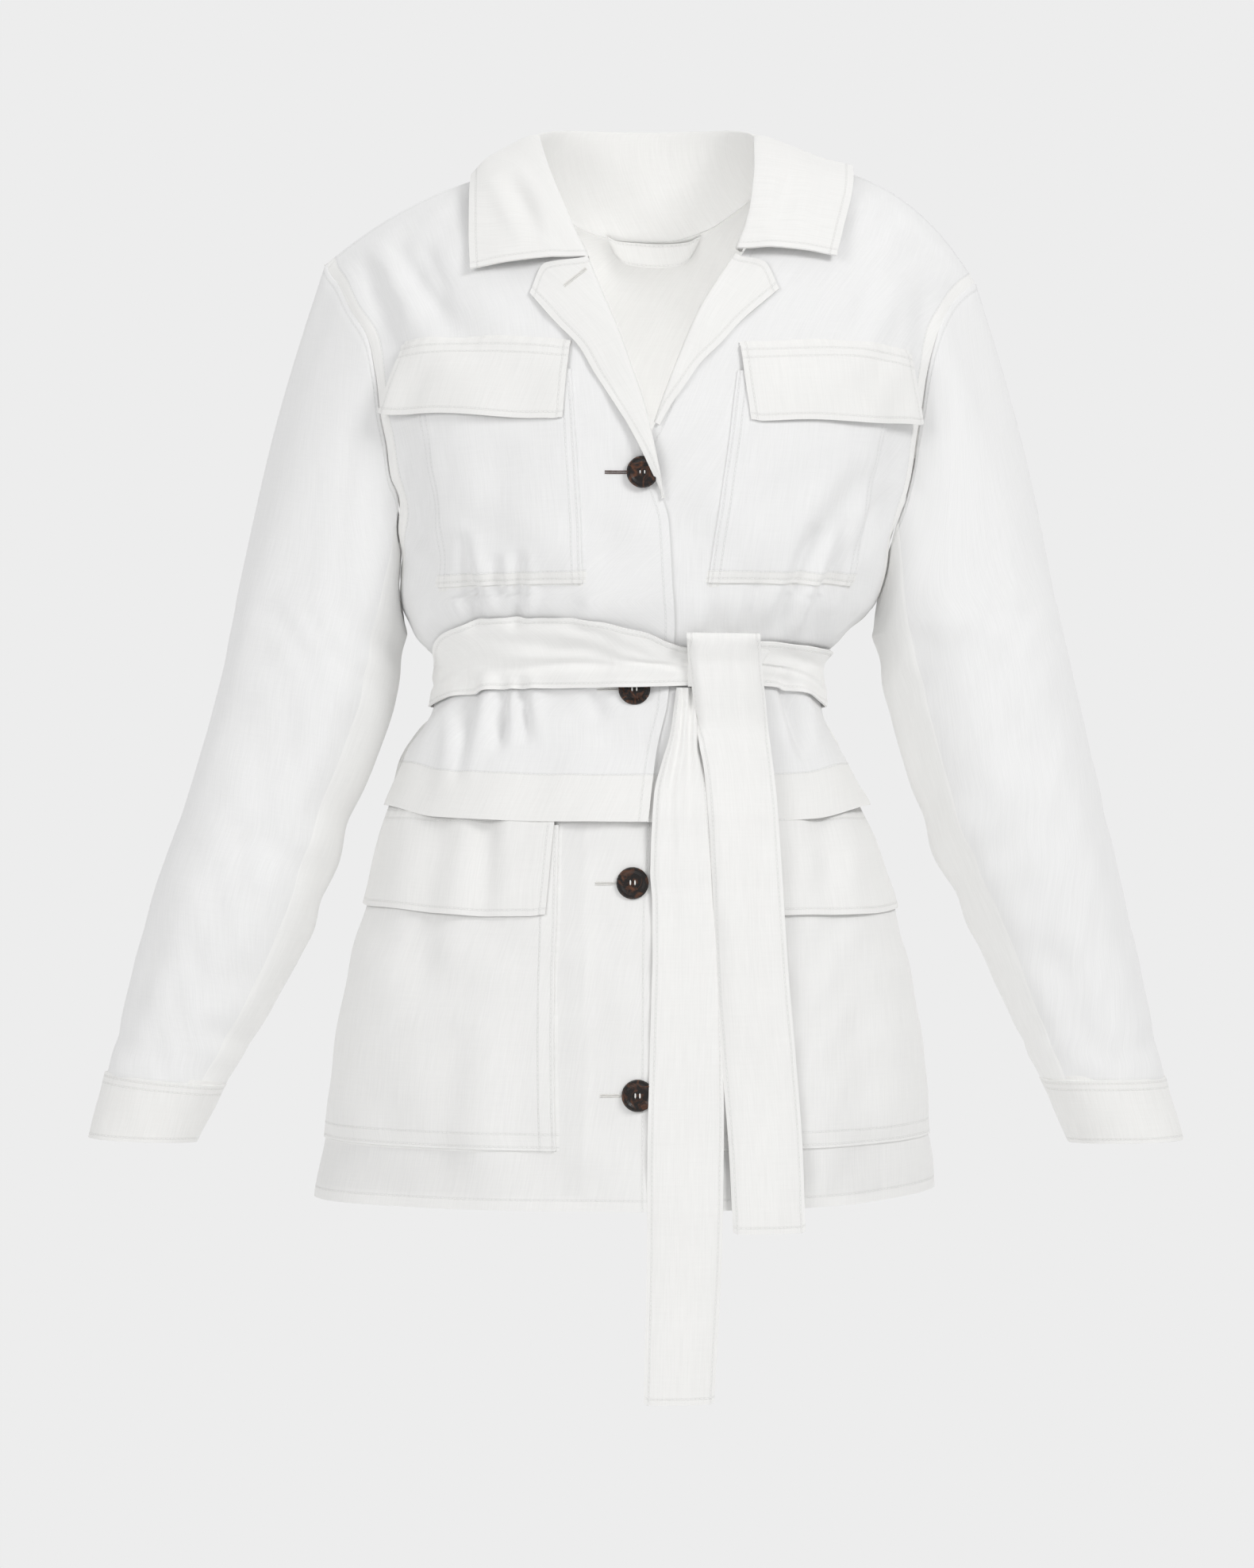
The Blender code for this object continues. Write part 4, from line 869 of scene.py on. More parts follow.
def neck_line(panel, back, side):
    """Neck seam's corners, from the gorge over the shoulder to the centre back."""
    gorge = int(np.argmin(np.abs(panel.rows - GORGE_ROW)))
    column = -1 if side == "left" else 0
    front = panel.points[gorge:, column]
    middle = back.shape[1] // 2
    neck_half = NECK_COLUMNS // 2
    rear = back[-1, middle - neck_half:middle + neck_half + 1]
    rear = rear[neck_half:][::-1] if side == "left" else rear[:neck_half + 1]
    return np.concatenate([front, rear[1:]]), len(front) - 1


def patch(panel, corners, columns, rows):
    """Rows and turns of a four-sided patch on a panel, from its low edge up."""
    place = [np.array(row_at(panel.layer, x, z)) for x, z in corners]
    top_left, top_right, low_right, low_left = place
    along = np.linspace(0.0, 1.0, columns + 1)[None, :, None]
    up = np.linspace(0.0, 1.0, rows + 1)[:, None, None]
    low = mix(low_left, low_right, along)
    top = mix(top_left, top_right, along)
    spread = mix(low, top, up)
    return spread[..., 0], spread[..., 1], along[..., 0], up[..., 0]


# The most that the curve below reaches, so that it can be scaled to 1
SAG_MOST = 0.306


def sag(along, down):
    """How far a pouch stands out: about 1 below its middle, nothing at its edges."""
    across = np.sin(np.pi * np.clip(along, 0.0, 1.0)) ** 0.8
    return across * (down ** 1.3 * (1 - down) ** 0.6) / SAG_MOST


def belt_out(turn):
    """How far the belt's face stands off the bodice, more over the overlap and button."""
    points = ring(BODICE, BELT_ROW + 0 * turn, turn)
    front = np.abs(wrapped(turn)) < 90.0
    raised = np.where(front, overlap_relief(points), 0.0)
    raised = raised * (1 - smooth_step(*OVERLAP_END, points[..., 0]))
    button = np.exp(-((turn - BELT_BUTTON_TURN) / BELT_BUTTON_SPREAD) ** 4)
    return BELT_OUT + raised + BELT_BUTTON_OUT * button


# Lowest row at which the belt's ends still feel the step of the bodice's hem
DRAPE_ROW = -490.0


def drape_front(x, z):
    """Depth of the jacket's front at x and z, over the step between the layers."""
    bodice_row = np.maximum(z, BODICE_HEM)
    bodice = ring(BODICE, bodice_row, turn_at(BODICE, bodice_row, x))[..., 1]
    skirt_row = np.clip(z, SKIRT_HEM, DRAPE_ROW)
    skirt = ring(SKIRT, skirt_row, turn_at(SKIRT, skirt_row, x))[..., 1]
    return mix(skirt, bodice, smooth_step(DRAPE_ROW, BODICE_HEM, z))


# Width, length and area of each piece's cut, filled in as the pieces are made
SHEETS = {}


def ticks(marks, each):
    """Subdivide the gaps between marks into equal steps."""
    marks = np.array(marks, float)
    key = np.arange((len(marks) - 1) * each + 1) / each
    return np.interp(key, np.arange(len(marks)), marks)


def resample(points, rows, columns):
    """A finer grid on smooth curves through a grid of points."""
    for axis, count in ((0, rows), (1, columns)):
        step = np.linalg.norm(np.diff(points, axis=axis), axis=-1).mean(axis=1 - axis)
        keys = np.concatenate([[0.0], np.cumsum(step)])
        keys = keys / keys[-1]
        want = np.linspace(0.0, 1.0, count)
        moved = np.moveaxis(points, axis, 0)
        flat = moved.reshape(len(keys), -1)
        fine = np.stack([smooth_read(keys, line, want) for line in flat.T], axis=1)
        points = np.moveaxis(fine.reshape((count,) + moved.shape[1:]), 0, axis)
    return points


def run_lengths(points, axis):
    """Distance of each point along its row or column from the grid's first edge."""
    step = np.linalg.norm(np.diff(points, axis=axis), axis=-1)
    start = np.zeros_like(np.take(step, [0], axis=axis))
    return np.concatenate([start, np.cumsum(step, axis=axis)], axis=axis)


# How far an edge reaches under its neighbour and how deep it then lies, step by step
LAPPED = ((0.25, 1.5), (3.0, 1.8))
SEWN = ((0.8, 0.4), (3.0, 1.7))


def tuck_under(grids, side, reaches):
    """Carry one edge of a grid on beneath the piece that it is sewn to."""
    axis = 0 if side in ("low", "top") else 1
    last = side in ("top", "last")
    found = [np.flip(grid, axis) if last else grid for grid in grids]
    edge, inner = (np.take(found[0], [place], axis) for place in (0, 1))
    normal = np.take(found[1], [0], axis)
    away = unit(edge - inner)
    rows = [edge + away * reach - normal * depth for reach, depth in reversed(reaches)]
    result = [np.concatenate(rows + [found[0]], axis)]
    for grid in found[1:]:
        result.append(np.concatenate([np.take(grid, [0], axis)] * len(rows) + [grid], axis))
    return [np.flip(grid, axis) if last else grid for grid in result]


def note_sheet(name, points, along, up):
    """Keep the width, length and area of a piece's cut, in metres."""
    normal = np.cross(points[1:, :-1] - points[:-1, :-1], points[:-1, 1:] - points[:-1, :-1])
    area = float(np.linalg.norm(normal, axis=-1).sum()) * MM * MM
    width, length = float(along[:, -1].max()) * MM, float(up[-1].max()) * MM
    SHEETS[name] = (round(width, 3), round(length, 3), round(area, 4))


def shell_faces(rows, columns, closed):
    """Quads of a shell's outer side, of its inner side and of its rims."""
    index = np.arange(rows * columns).reshape(rows, columns)
    if closed:
        index[:, -1] = index[:, 0]
    low = index + rows * columns
    quads = [index[:-1, :-1], index[:-1, 1:], index[1:, 1:], index[1:, :-1]]
    outer = np.stack(quads, axis=-1).reshape(-1, 4)
    inner = (np.stack(quads, axis=-1) + rows * columns).reshape(-1, 4)[:, ::-1]
    sides = [(index[0], low[0], False), (index[-1], low[-1], True)]
    if not closed:
        sides += [(index[:, 0], low[:, 0], True), (index[:, -1], low[:, -1], False)]
    rims = []
    for top, bottom, flip in sides:
        rim = np.stack([top[:-1], bottom[:-1], bottom[1:], top[1:]], axis=-1)
        rims.append(rim[:, ::-1] if flip else rim)
    return np.concatenate([outer, inner] + rims)


def mark_points(mesh, marks):
    """Store named values on a shell's points, the same on its outer and inner side."""
    for key, value in marks.items():
        layer = mesh.attributes.new(key, "FLOAT", "POINT")
        layer.data.foreach_set("value", np.tile(value.ravel(), 2).astype(np.float32))
    layer = mesh.attributes.new("inside", "FLOAT", "POINT")
    layer.data.foreach_set("value", np.repeat([0.0, 1.0], value.size).astype(np.float32))


def drop_loose(mesh):
    """Remove points that no face uses."""
    bm = bmesh.new()
    bm.from_mesh(mesh)
    bmesh.ops.delete(bm, geom=[v for v in bm.verts if not v.link_faces], context="VERTS")
    bm.to_mesh(mesh)
    bm.free()


def add_piece(name, mesh, material, node=None):
    """Put a mesh into the scene as a piece of the jacket, in place of a node if it has one."""
    mesh.materials.append(material)
    obj = bpy.data.objects.new(name, mesh)
    bpy.context.scene.collection.objects.link(obj)
    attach(obj, "root")
    if node:
        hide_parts(node)
    return obj


def cloth(node, points, normals, thickness, material, closed=False, painted_shading=0.0, tucks=(),
          reaches=SEWN):
    """Make a thin cloth piece from a grid of outer points, in place of a node."""
    if closed:
        points = np.concatenate([points, points[:, :1]], axis=1)
        normals = np.concatenate([normals, normals[:, :1]], axis=1)
    along, up = run_lengths(points, 1), run_lengths(points, 0)
    name = f"cloth_{node}"
    note_sheet(name, points, along, up)
    flat = np.zeros(along.shape)
    grids = [points, normals, along, up, up[-1:] - up, along[:, -1:] - along, painted_shading + flat,
             thickness + flat[..., None]]
    for side in tucks:
        grids = tuck_under(grids, side, reaches)
    points, normals, along, up, from_top, from_last, painted_shading, thickness = grids
    under = points - normals * thickness
    corner = np.concatenate([points.reshape(-1, 3), under.reshape(-1, 3)]) * MM
    mesh = bpy.data.meshes.new(name)
    mesh.from_pydata(corner.tolist(), [], shell_faces(*points.shape[:2], closed).tolist())
    mesh.update()
    both = np.tile(np.stack([along, up], axis=-1).reshape(-1, 2), (2, 1)) * MM
    uv = mesh.uv_layers.new(name="cloth")
    loops = np.zeros(len(mesh.loops), np.int32)
    mesh.loops.foreach_get("vertex_index", loops)
    uv.data.foreach_set("uv", both[loops].astype(np.float32).ravel())
    mark_points(mesh, {"from_low": up, "from_top": from_top, "from_first": along,
                       "from_last": from_last, "painted_shading": painted_shading})
    mesh.polygons.foreach_set("use_smooth", np.ones(len(mesh.polygons), bool))
    mesh.set_sharp_from_angle(angle=1.0)
    if closed or tucks:
        drop_loose(mesh)
    return add_piece(name, mesh, material, node)


def new_material(name, roughness):
    """A material with its nodes and its shader."""
    material = bpy.data.materials.new(name)
    material.use_nodes = True
    shader = material.node_tree.nodes["Principled BSDF"]
    shader.inputs["Roughness"].default_value = roughness
    return material, material.node_tree, shader


def node_math(tree, operation, *values):
    """A maths node on numbers or sockets."""
    node = tree.nodes.new("ShaderNodeMath")
    node.operation = operation
    for place, value in enumerate(values):
        if isinstance(value, (int, float)):
            node.inputs[place].default_value = value
        else:
            tree.links.new(value, node.inputs[place])
    return node.outputs[0]


def node_ramp(tree, value, low, high, start=0.0, end=1.0):
    """From start below low to end above high, softly between."""
    node = tree.nodes.new("ShaderNodeMapRange")
    node.interpolation_type = "SMOOTHSTEP"
    tree.links.new(value, node.inputs["Value"])
    node.inputs["From Min"].default_value = low
    node.inputs["From Max"].default_value = high
    node.inputs["To Min"].default_value = start
    node.inputs["To Max"].default_value = end
    return node.outputs["Result"]


def node_mix(tree, first, last, share, blend="MIX"):
    """A mix of two colours, each a tuple or a socket."""
    node = tree.nodes.new("ShaderNodeMix")
    node.data_type = "RGBA"
    node.blend_type = blend
    for key, value in (("A", first), ("B", last), ("Factor", share)):
        if isinstance(value, (tuple, float)):
            node.inputs[key].default_value = (*value, 1.0) if key != "Factor" else value
        else:
            tree.links.new(value, node.inputs[key])
    return node.outputs["Result"]


def attribute(tree, name):
    """A value stored on the cloth's points."""
    node = tree.nodes.new("ShaderNodeAttribute")
    node.attribute_name = name
    return node.outputs["Fac"]


def stretched_noise(tree, uv, scale_u, scale_v, detail=2.0):
    """Noise drawn out along the cloth's threads."""
    mapping = tree.nodes.new("ShaderNodeMapping")
    mapping.inputs["Scale"].default_value = (scale_u, scale_v, 1.0)
    tree.links.new(uv, mapping.inputs["Vector"])
    noise = tree.nodes.new("ShaderNodeTexNoise")
    noise.noise_dimensions = "2D"
    noise.inputs["Scale"].default_value = 1.0
    noise.inputs["Detail"].default_value = detail
    tree.links.new(mapping.outputs["Vector"], noise.inputs["Vector"])
    return noise.outputs["Fac"]


# Linen: how its noises are drawn out across and up the cloth, what each adds to the shade,
# and how far the threads stand out in the bump
WARP = (950.0, 42.0)
WEFT = (38.0, 900.0)
SLUBS = (260.0, 11.0)
CLOUDS = (11.0, 7.0)
WARP_SHARE = 1.45
WEFT_SHARE = 0.55
THREAD_SHADE = 0.05
CLOUD_SHADE = 0.035
SLUB_SHADE = 0.022
INSIDE_SHADE = -0.02
THREAD_RELIEF = 0.10
BAND_RELIEF = 0.5
BUMP_STRENGTH = 0.55
BUMP_DEPTH = 0.0005

# Stitches: length, share that is thread, and for groove and thread the distances from the
# row's middle where each starts and is whole, its height and its shade
STITCH = 3.1
STITCH_FILLED = 0.72
GROOVE = (1.1, 0.1)
GROOVE_HEIGHT = -0.6
GROOVE_SHADE = -0.075
THREAD = (0.5, 0.15)
THREAD_HEIGHT = 0.9
THREAD_LIGHT = 0.085

# Where a band starts beyond its edge, past what is tucked under the neighbour
BAND_START = -9.0


def weave(tree, uv):
    """Height and shade of the threads, with slubs and soft clouds."""
    warp, weft, slubs = (stretched_noise(tree, uv, *scale) for scale in (WARP, WEFT, SLUBS))
    clouds = stretched_noise(tree, uv, *CLOUDS, detail=3.0)
    warp = node_math(tree, "MULTIPLY", warp, WARP_SHARE)
    threads = node_math(tree, "MULTIPLY_ADD", weft, WEFT_SHARE, warp)
    light = 1.0
    for value, middle, share in ((threads, 1.0, THREAD_SHADE), (clouds, 0.5, CLOUD_SHADE),
                                 (slubs, 0.5, SLUB_SHADE)):
        light = node_math(tree, "MULTIPLY_ADD", node_math(tree, "ADD", value, -middle), share, light)
    return node_math(tree, "MULTIPLY", threads, THREAD_RELIEF), light


def stitch_rows(tree, uv, seams, height, light):
    """Rows of stitches at set distances from the edges, each a groove with thread in it."""
    split = tree.nodes.new("ShaderNodeSeparateXYZ")
    tree.links.new(uv, split.inputs[0])
    for edge, distance in seams:
        run = split.outputs["X" if edge in ("low", "top") else "Y"]
        apart = node_math(tree, "SUBTRACT", attribute(tree, f"from_{edge}"), distance)
        away = node_math(tree, "ABSOLUTE", apart)
        groove = node_ramp(tree, away, *GROOVE)
        dash = node_math(tree, "FRACT", node_math(tree, "DIVIDE", run, STITCH * MM))
        dash = node_math(tree, "LESS_THAN", dash, STITCH_FILLED)
        thread = node_math(tree, "MULTIPLY", node_ramp(tree, away, *THREAD), dash)
        height = node_math(tree, "MULTIPLY_ADD", groove, GROOVE_HEIGHT, height)
        height = node_math(tree, "MULTIPLY_ADD", thread, THREAD_HEIGHT, height)
        # Painted shade in the groove's hollow
        light = node_math(tree, "MULTIPLY_ADD", groove, GROOVE_SHADE, light)
        light = node_math(tree, "MULTIPLY_ADD", thread, THREAD_LIGHT, light)
    return height, light


def band_mask(tree, bands):
    """1 on the doubled bands of a width along some edges and on what is tucked beyond them."""
    mask = None
    for edge, width in bands:
        value = attribute(tree, f"from_{edge}")
        start = node_ramp(tree, value, BAND_START - 0.3, BAND_START + 0.3)
        band = node_math(tree, "MULTIPLY", start, node_ramp(tree, value, width + 0.4, width - 0.4))
        mask = band if mask is None else node_math(tree, "MAXIMUM", mask, band)
    return mask


def linen(name, colour, seams=(), bands=(), band_colour=None):
    """Linen with slubs and a fine weave, rows of stitches and bands of another white."""
    material, tree, shader = new_material(name, 0.85)
    shader.inputs["Sheen Weight"].default_value = 0.25
    shader.inputs["Sheen Roughness"].default_value = 0.5
    shader.inputs["Specular IOR Level"].default_value = 0.25
    uv_node = tree.nodes.new("ShaderNodeUVMap")
    uv_node.uv_map = "cloth"
    uv = uv_node.outputs["UV"]
    height, light = stitch_rows(tree, uv, seams, *weave(tree, uv))
    # Painted shading: the stored value lightens the white where it lies in shade and darkens it where
    # shade shows through
    light = node_math(tree, "MULTIPLY_ADD", attribute(tree, "painted_shading"), -1.0, light)
    light = node_math(tree, "MULTIPLY_ADD", attribute(tree, "inside"), INSIDE_SHADE, light)
    share = 0.0
    if bands:
        mask = band_mask(tree, bands)
        height = node_math(tree, "MULTIPLY_ADD", mask, BAND_RELIEF, height)
        share = node_math(tree, "MAXIMUM", mask, attribute(tree, "inside"))
    base = node_mix(tree, colour, band_colour or colour, share)
    grey = tree.nodes.new("ShaderNodeCombineColor")
    for channel in range(3):
        tree.links.new(light, grey.inputs[channel])
    shade = node_mix(tree, base, grey.outputs[0], 1.0, blend="MULTIPLY")
    tree.links.new(shade, shader.inputs["Base Color"])
    bump = tree.nodes.new("ShaderNodeBump")
    bump.inputs["Strength"].default_value = BUMP_STRENGTH
    bump.inputs["Distance"].default_value = BUMP_DEPTH
    tree.links.new(height, bump.inputs["Height"])
    tree.links.new(bump.outputs["Normal"], shader.inputs["Normal"])
    return material


# Whites: one layer, two layers, the belt, the sleeve's under piece, painted lighter against the shade it
# hangs in, and the thin under layer with its hems and flaps
COOL = (0.868, 0.868, 0.866)
WARM = (0.880, 0.876, 0.860)
BELT_WHITE = (0.898, 0.894, 0.879)
UNDER_SLEEVE_PAINTED_LIGHT = (0.905, 0.903, 0.892)
THIN = (0.872, 0.869, 0.858)
THIN_BAND = (0.878, 0.875, 0.862)
THIN_FLAP = (0.876, 0.872, 0.858)

# Fineness of the fronts and backs, and the shells' thickness
FINE = 7
SKIRT_FINE = 11
SKIRT_BACK_FINE = 10
BODY_COLUMNS = 96
SKIN = 1.0
THICK = 1.5

# Widths of hems and of the sewn-down seams, and of the stitches along the fronts' edges
BODICE_TURNED = 32.0
SKIRT_TURNED = 7.0
FELL = 8.5
# Painted light on the sewn-down seams' bands, against the shade in their valley
FELL_PAINTED_LIGHT = -0.045
FRONT_STITCH = 6.0


def on_side(side, marks):
    """Name edges for one side: inner is towards the fronts' opening, outer the side seam."""
    names = {"inner": "last", "outer": "first"}
    if side == "right":
        names = {"inner": "first", "outer": "last"}
    return [(names.get(edge, edge), size) for edge, size in marks]


def front_panels():
    """The fronts' fine grids, with the left ones raised over the right ones."""
    rows = ticks(BODICE_ROWS, FINE)
    low = ticks(SKIRT_ROWS, SKIRT_FINE)
    return {
        "bodice_left": Panel(BODICE, rows, outer_turn("left"),
                             edge_turn(BODICE, BODICE_EDGE, "left"), BODY_COLUMNS, raised=True),
        "bodice_right": Panel(BODICE, rows, edge_turn(BODICE, BODICE_EDGE, "right"),
                              outer_turn("right"), BODY_COLUMNS),
        "skirt_left": Panel(SKIRT, low, side_seam(-90 + SEAM_TURN),
                            edge_turn(SKIRT, SKIRT_EDGE, "left"), BODY_COLUMNS, raised=True),
        "skirt_right": Panel(SKIRT, low, edge_turn(SKIRT, SKIRT_EDGE, "right"),
                             side_seam(90 - SEAM_TURN), BODY_COLUMNS),
    }


# Free hem of the bodice's fronts: how far it sinks and stands out, over what height, and
# between which places aside it starts to sink
HEM_DROP = 4.5
HEM_FLARE = 2.6
HEM_REACH = 34.0
HEM_STARTS = {"left": (-172.0, -140.0), "right": (146.0, 110.0)}


def lay_hem(panel, side):
    """Let the fronts' lower hem sink and stand out over the flaps beneath."""
    low = smooth_step(BODICE_HEM + HEM_REACH, BODICE_HEM, panel.rows)[:, None]
    where = smooth_step(*HEM_STARTS[side], panel.points[..., 0])
    panel.points = panel.points + panel.normals * (HEM_FLARE * low)[..., None]
    panel.points[..., 2] -= HEM_DROP * low * where


# Stretches of the under layer where a single thickness of it shows, darkened with painted shade for the
# dark inside showing through
SHOW_THROUGH_ROWS = (-692, -440)
SKIRT_SHOW_THROUGH_SHADE = {
    # from x, to x, how much darker
    "left": ((-56, -41, 0.045), (-226, -125, 0.045), (-125, -56, 0.025)),
    "right": ((117, 155, 0.045), (40, 117, 0.018), (155, 200, 0.018)),
}


def box_mask(points, across, upward, soft=1.2):
    """1 inside a box of x and z, fading over its edges."""
    mask = 1.0
    for value, (low, high) in ((points[..., 0], across), (points[..., 2], upward)):
        mask = mask * smooth_step(low - soft, low + soft, value)
        mask = mask * smooth_step(high + soft, high - soft, value)
    return mask


def make_upper_front(side, panel):
    """A front of the bodice, with its turned hem and sewn-down seams."""
    lay_hem(panel, side)
    seams = (("low", BODICE_TURNED), ("inner", FRONT_STITCH), ("outer", FELL), ("top", 5.0))
    bands = (("low", BODICE_TURNED), ("outer", FELL))
    material = linen(f"linen_bodice_{side}", COOL, on_side(side, seams), on_side(side, bands), WARM)
    along = run_lengths(panel.points, 1)
    away = along if side == "left" else along[:, -1:] - along
    # The sewn-down seam's band is painted lighter, against the shade in its valley
    cloth(f"upper_front_{side}", panel.points, panel.normals, SKIN, material,
          painted_shading=FELL_PAINTED_LIGHT * smooth_step(FELL + 0.5, FELL - 0.5, away), tucks=("top",))


def make_lower_front(side, panel):
    """A front of the thinner under layer, down to the jacket's hem."""
    # Painted shade where the single layer lets the shade inside show through
    painted_shading = sum(dark * box_mask(panel.points, (start, end), SHOW_THROUGH_ROWS)
               for start, end, dark in SKIRT_SHOW_THROUGH_SHADE[side])
    seams = on_side(side, (("low", SKIRT_TURNED), ("inner", FRONT_STITCH)))
    material = linen(f"linen_skirt_{side}", THIN, seams, (("low", SKIRT_TURNED),), THIN_BAND)
    cloth(f"lower_front_{side}", panel.points, panel.normals, SKIN, material,
          painted_shading=painted_shading)


def make_upper_back():
    """The back of the bodice, cut down at the neck. Returns its points for the collar."""
    rows = ticks(BODICE_ROWS, FINE)
    turn = back_turns(rows, to_armhole=True)
    share = (rows - BODICE_HEM) / (SHOULDER_ROW - BODICE_HEM)
    row = BODICE_HEM + (neck_row(turn[-1]) - BODICE_HEM) * share[:, None]
    points, normals = face(BODICE, row, turn)
    marks = (("low", BODICE_TURNED), ("first", FELL), ("last", FELL))
    cloth("upper_back", points, normals, SKIN,
          linen("linen_back", COOL, marks, marks, WARM), tucks=("first", "last"))
    return points


def make_lower_back():
    """The back of the under layer."""
    rows = ticks(SKIRT_ROWS, SKIRT_BACK_FINE)
    turn = back_turns(rows, to_armhole=False)
    row = np.repeat(rows[:, None], turn.shape[1], axis=1)
    points, normals = face(SKIRT, row, turn)
    catch_top(points, row, turn)
    # Painted shade: the back a little darker from a height of -470 down to -520 and below, as on the
    # fronts' single layer
    hem = (("low", SKIRT_TURNED),)
    cloth("lower_back", points, normals, SKIN,
          linen("linen_skirt_back", THIN, hem, hem, THIN_BAND),
          painted_shading=0.02 * smooth_step(-470, -520, points[..., 2]), tucks=("first", "last"))


SLEEVE_FOLDS = (
    # step, turn, reach down, reach round, depth
    (1.25, 150.0, 0.22, 34.0, 2.4),
    (1.75, 128.0, 0.16, 30.0, 1.8),
    (2.9, 165.0, 0.18, 40.0, 2.6),
    (3.35, 120.0, 0.14, 36.0, 1.8),
    (3.7, 185.0, 0.16, 40.0, 2.2),
    (3.2, 300.0, 0.20, 46.0, 1.8),
    (2.5, 60.0, 0.24, 44.0, 1.3),
    (4.6, 80.0, 0.20, 50.0, 1.2),
    (5.3, 140.0, 0.14, 40.0, 1.4),
    (5.6, 20.0, 0.12, 40.0, 1.2),
    (5.5, 260.0, 0.14, 44.0, 1.4),
)

# How the folds slant and how high they stand beside their trough, and the length of one step
FOLD_SLANT = 0.35
FOLD_SHOULDER = 0.45
STEP_LENGTH = 75.0


def sleeve_relief(step, turn, seed):
    """Folds of a hanging sleeve: soft bands round the arm and long waves down it."""
    height = np.zeros(np.broadcast(step, turn).shape)
    for down, around, reach, spread, depth in SLEEVE_FOLDS:
        aside = wrapped(turn - around - seed * 7.0)
        away = step - (down + aside / 180.0 * FOLD_SLANT)
        fade = (aside / spread) ** 2
        height -= depth * np.exp(-(away / reach) ** 2 - fade)
        height += FOLD_SHOULDER * depth * np.exp(-((away - 2 * reach) / reach) ** 2 - fade)
    angle = np.radians(turn)
    long = 1.5 * np.sin(3.0 * angle + 0.5 * step + seed) + 1.2 * np.sin(5.0 * angle - 0.8 * step)
    long += 0.7 * np.sin(9.0 * angle + 0.9 * step + 2.0 * seed)
    broad = 0.35 + 0.65 * np.sin(angle) ** 2
    height += long * broad * smooth_step(0.2, 1.4, step) * smooth_step(6.0, 5.2, step)
    height += RUMPLE * 0.8 * broad * rumple(turn * 1.1, step * STEP_LENGTH, seed)
    return height * smooth_step(0.0, 0.35, step)


# Rows of the sleeve's head, of the rest down to the cuff and of the cuff, and the columns
# of the sleeve's two pieces and of the cuff
HEAD_ROWS = 22
ARM_ROWS = 110
CUFF_ROWS = 22
UNDER_COLUMNS = 30
TOP_COLUMNS = 84
CUFF_COLUMNS = 96
CUFF_STEPS = (6.0, 7.0)


def make_sleeve(side, sections, seed):
    """A sleeve's two pieces and its cuff."""
    sleeve = Sleeve(side, sections)
    cuff_step, end_step = CUFF_STEPS
    head = np.linspace(0.0, 1.0, HEAD_ROWS)[:-1]
    steps = np.concatenate([head, np.linspace(1.0, cuff_step, ARM_ROWS)])[:, None]
    start, end = SLEEVE_SEAM_FRONT + SLEEVE_GAP, SLEEVE_SEAM_BACK - SLEEVE_GAP
    turns = {"under": np.linspace(start, end, UNDER_COLUMNS),
             "top": np.linspace(SLEEVE_SEAM_BACK - 360 + SLEEVE_GAP,
                                SLEEVE_SEAM_FRONT - SLEEVE_GAP, TOP_COLUMNS)}
    order, upper, lower = (-1, "top", "low") if side == "left" else (1, "low", "top")
    for part, turn in turns.items():
        points, normals = sleeve.points(steps, turn), sleeve.normals(steps, turn)
        points = points + normals * sleeve_relief(steps, turn, seed)[..., None]
        # The under piece's white is painted lighter, against the shade it hangs in
        white, sides = (UNDER_SLEEVE_PAINTED_LIGHT, ("first", "last")) if part == "under" else (COOL, ())
        cloth(f"sleeve_{side}_{part}", points[::order], normals[::order], SKIN,
              linen(f"linen_sleeve_{side}_{part}", white, ((upper, 3.0),)),
              tucks=("low", "top", *sides))
    turn = np.arange(CUFF_COLUMNS) * 360.0 / CUFF_COLUMNS
    down = np.linspace(cuff_step, end_step, CUFF_ROWS)[:, None]
    points, normals = sleeve.points(down, turn), sleeve.normals(down, turn)
    wave = 0.5 * np.sin(np.radians(turn * 5.0)) * np.sin(np.pi * (down - cuff_step))
    crumple = RUMPLE * 0.4 * rumple(turn, down * 60.0, seed)
    points = points + normals * (CUFF_OUT + wave + crumple)[..., None]
    points[0, :, 2] -= SEAM
    seams = ((lower, 3.0), (upper, 2.5), (upper, 7.0))
    cloth(f"cuff_{side}", points[::order], normals[::order], THICK,
          linen(f"linen_cuff_{side}", WARM, seams), closed=True, tucks=(upper,), reaches=LAPPED)


# Fineness of the collar, and the step of its table that lies at the shoulder
COLLAR_ROWS = 64
COLLAR_COLUMNS = 150
SHOULDER_STEP = 0.6
COLLAR_FOLDS = (
    # start, end, depth, half width, lift beside it
    ((-92, -16), (-70, -64), 1.6, 6.0, 1.0),
    ((96, -10), (84, -60), 1.4, 7.0, 0.8),
)


def collar_strip(side, table, panel, back):
    """The collar's corners on one side, from the lapel to the centre back."""
    line, shoulder = neck_line(panel, back, side)
    corner = np.arange(len(line), dtype=float)
    rear = (corner - shoulder) / (len(line) - 1 - shoulder)
    step = np.where(corner <= shoulder, corner / shoulder * SHOULDER_STEP,
                    SHOULDER_STEP + rear * (1 - SHOULDER_STEP))
    fold, edge = (np.stack([table.at(f"{part}_{axis}", step) for axis in "xyz"], axis=-1)
                  for part in ("fold", "edge"))
    seam = line + unit(fold - line) * SEAM
    low = np.array([0.0, 8.0, -1.0]) + fold
    near = smooth_step(0.16, 0.0, step)[:, None]
    return rolled(edge, fold, mix(seam, low, near))


